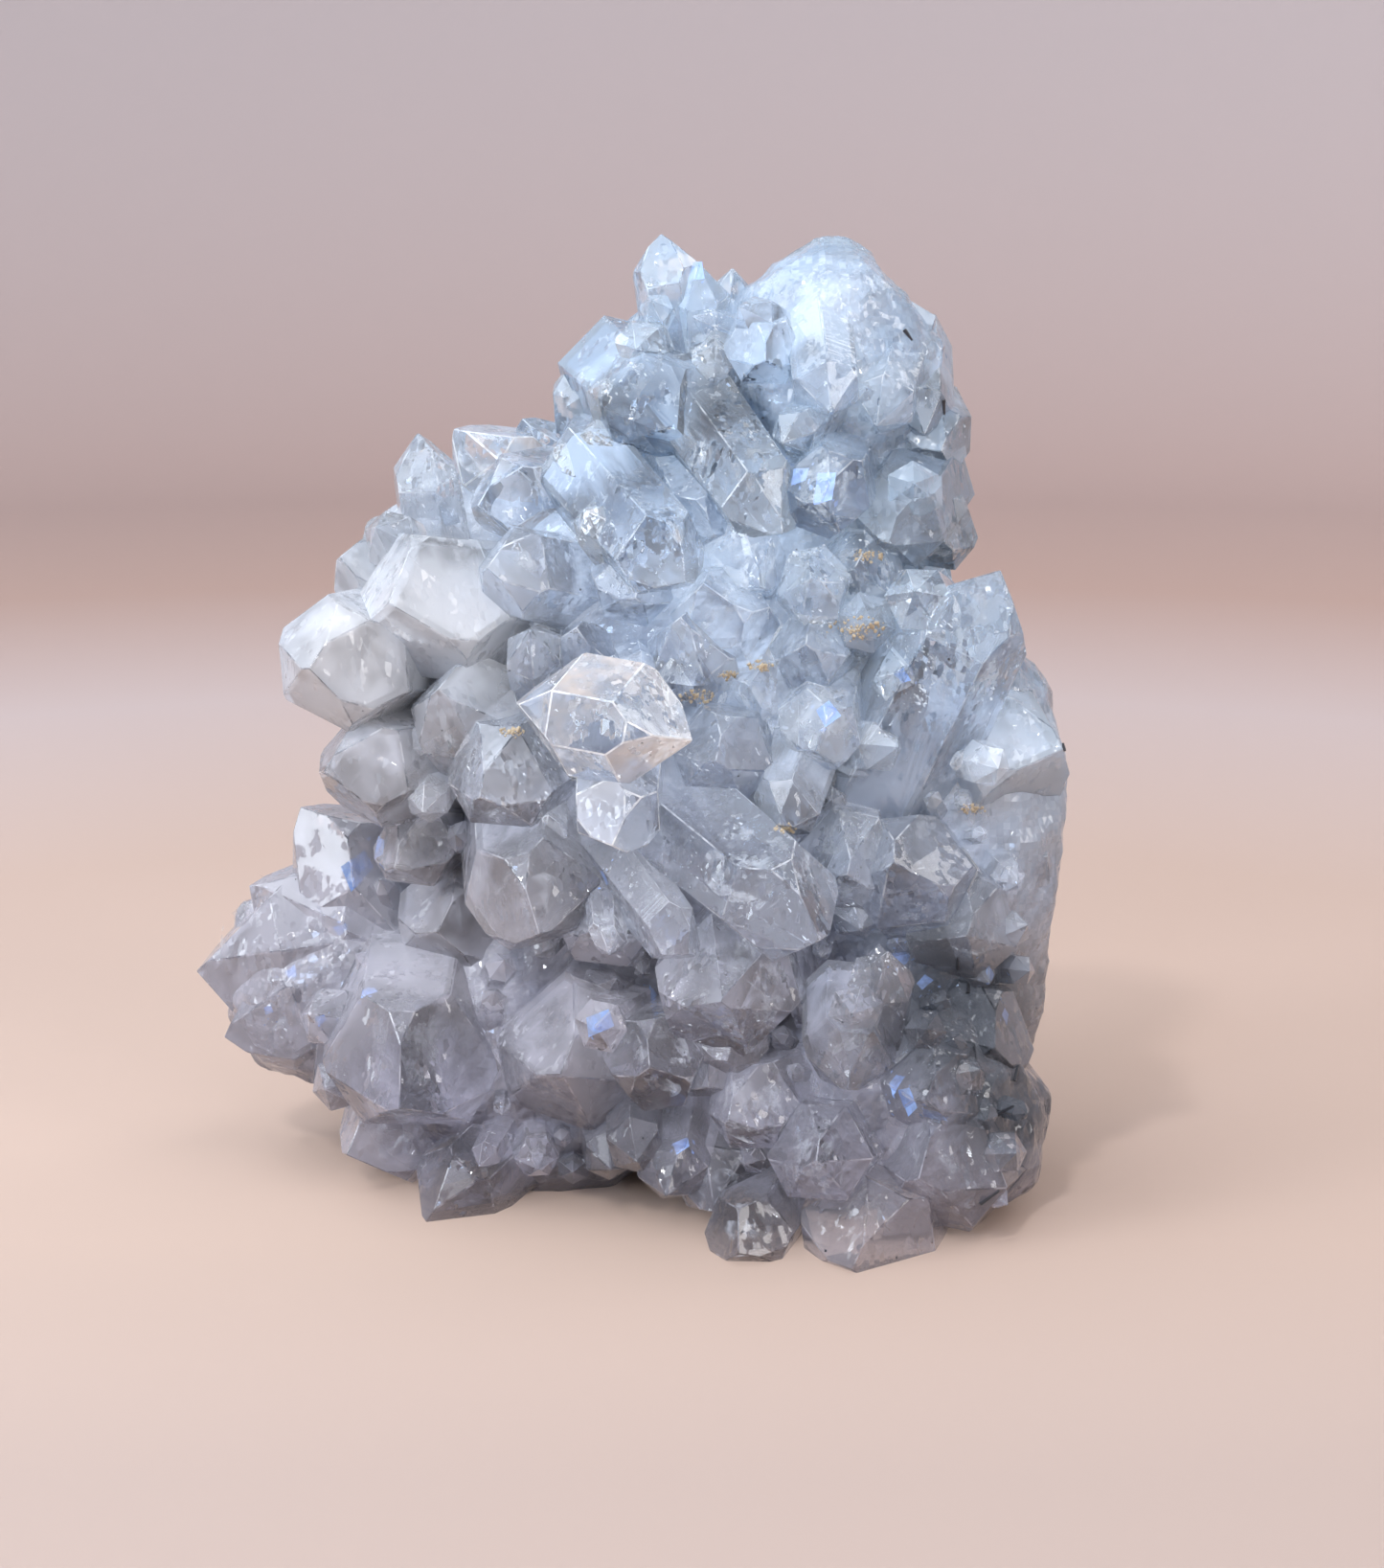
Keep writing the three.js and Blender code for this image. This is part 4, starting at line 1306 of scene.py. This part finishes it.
def stage_bowl():
    bm = bmesh.new()
    profile = [(0.2, 0.0), (0.45, 0.0), (FLOOR_REACH, 0.0)]
    for t in [math.pi / 2 * k / 12 for k in range(1, 13)]:
        profile.append((FLOOR_REACH + FLOOR_CURVE * math.sin(t), FLOOR_CURVE * (1 - math.cos(t))))
    profile += [(0.8, 0.3), (0.8, 0.45)]
    rings = []
    for radius, height in profile:
        ring = []
        for k in range(STAGE_STEPS):
            turn = 2 * math.pi * k / STAGE_STEPS
            ring.append(bm.verts.new((radius * math.cos(turn), radius * math.sin(turn), height)))
        rings.append(ring)
    bm.faces.new(rings[0])
    for low, high in zip(rings, rings[1:]):
        for k in range(STAGE_STEPS):
            after = (k + 1) % STAGE_STEPS
            bm.faces.new((low[k], low[after], high[after], high[k]))
    bmesh.ops.recalc_face_normals(bm, faces=bm.faces)
    floor = to_object(bm, "stage_floor", 1)
    for polygon in floor.data.polygons:
        polygon.use_smooth = True
    material, tree, shader = new_material("stage_paper")
    spot = node(tree, "ShaderNodeTexCoord").outputs["Object"]
    parts = node(tree, "ShaderNodeSeparateXYZ", {"Vector": spot})
    flat = node(tree, "ShaderNodeCombineXYZ", {"X": parts.outputs["X"], "Y": parts.outputs["Y"]})
    length = node(tree, "ShaderNodeVectorMath", {0: flat.outputs[0]}, operation="LENGTH")
    away = math_node(tree, "ADD", length.outputs["Value"], parts.outputs["Z"])
    ramp = node(tree, "ShaderNodeValToRGB", {"Fac": away})
    # The first stop, close round the foot, is a little lighter: painted light, for the glow that passes
    # through the quartz.
    stops = [
        (0.0, (0.6, 0.45, 0.37)),
        (0.17, (0.58, 0.43, 0.36)),
        (0.3, (0.62, 0.505, 0.485)),
        (0.45, (0.585, 0.405, 0.345)),
        (0.68, (0.61, 0.46, 0.425)),
        (1.0, (0.61, 0.565, 0.585)),
    ]
    band = ramp.color_ramp
    while len(band.elements) < len(stops):
        band.elements.new(0.5)
    for element, (at, color) in zip(band.elements, stops):
        element.position = at
        element.color = (*color, 1)
    # Painted shade: the paper darkens towards the camera, in front of the cluster.
    toward = span(tree, parts.outputs["Y"], -0.02, -0.08, 0.0, 1.0)
    paper_with_painted_shade = blend(tree, toward, ramp.outputs["Color"], (0.5, 0.385, 0.335, 1))
    fill(tree, shader, {"Base Color": paper_with_painted_shade, "Roughness": 0.75})
    floor.data.materials.append(material)


stage_bowl()

# ---------- Light ----------


def lamp(name, spot, size, power, color, aim=(0, 0, 0.045)):
    data = bpy.data.lights.new(name, "AREA")
    data.shape = "RECTANGLE"
    data.size, data.size_y = size
    data.energy = power
    data.color = color
    obj = bpy.data.objects.new(name, data)
    obj.location = spot
    obj.rotation_euler = (Vector(aim) - Vector(spot)).to_track_quat("-Z", "Y").to_euler()
    obj.visible_camera = False
    bpy.context.scene.collection.objects.link(obj)


lamp("window", (-0.3, 0.0, 0.5), (0.6, 0.5), 2.4, (0.88, 0.94, 1.0))
lamp("left", (-0.55, -0.25, 0.25), (0.15, 0.35), 1.3, (0.84, 0.92, 1.0))
lamp("sky", (-0.2, -0.42, 0.4), (0.12, 0.1), 0.45, (0.5, 0.68, 1.0))
lamp("right", (0.5, -0.35, 0.3), (0.15, 0.3), 0.8, (1.0, 0.96, 0.94))
lamp("rim", (0.4, 0.2, 0.5), (0.3, 0.3), 0.9, (1.0, 0.96, 0.95), aim=(0.3, 0.5, 0.1))
lamp("top", (0.1, -0.15, 0.6), (0.2, 0.2), 0.5, (0.95, 0.97, 1.0))
lamp("front", (0.0, -0.95, 0.5), (0.6, 0.6), 2.2, (0.95, 0.95, 1.0))
lamp("spark", (-0.16, -0.3, 0.52), (0.045, 0.045), 0.9, (1.0, 1.0, 1.0))
lamp("spark_low", (0.3, -0.5, 0.16), (0.04, 0.04), 0.35, (0.9, 0.95, 1.0))

world = bpy.data.worlds.new("room")
bpy.context.scene.world = world
world.use_nodes = True
backdrop = world.node_tree.nodes["Background"]
backdrop.inputs["Color"].default_value = (0.84, 0.88, 0.97, 1)
backdrop.inputs["Strength"].default_value = 0.38

# ---------- Camera ----------

camera_data = bpy.data.cameras.new("camera")
camera = bpy.data.objects.new("camera", camera_data)
bpy.context.scene.collection.objects.link(camera)
bpy.context.scene.camera = camera
camera_data.sensor_width = SENSOR
camera_data.lens = SENSOR * EYE_DISTANCE / PICTURE_HEIGHT
camera_data.shift_y = PICTURE_SHIFT
camera_data.clip_start = 0.01
camera.location = EYE * MM
camera.rotation_euler = (-NEAR).to_track_quat("-Z", "Y").to_euler()

scene = bpy.context.scene
scene.view_settings.view_transform = "Standard"
scene.cycles.caustics_refractive = False
scene.cycles.adaptive_threshold = 0.1
scene.cycles.max_bounces = 6
scene.cycles.transmission_bounces = 6
scene.cycles.glossy_bounces = 4
scene.cycles.diffuse_bounces = 2
scene.cycles.transparent_max_bounces = 8
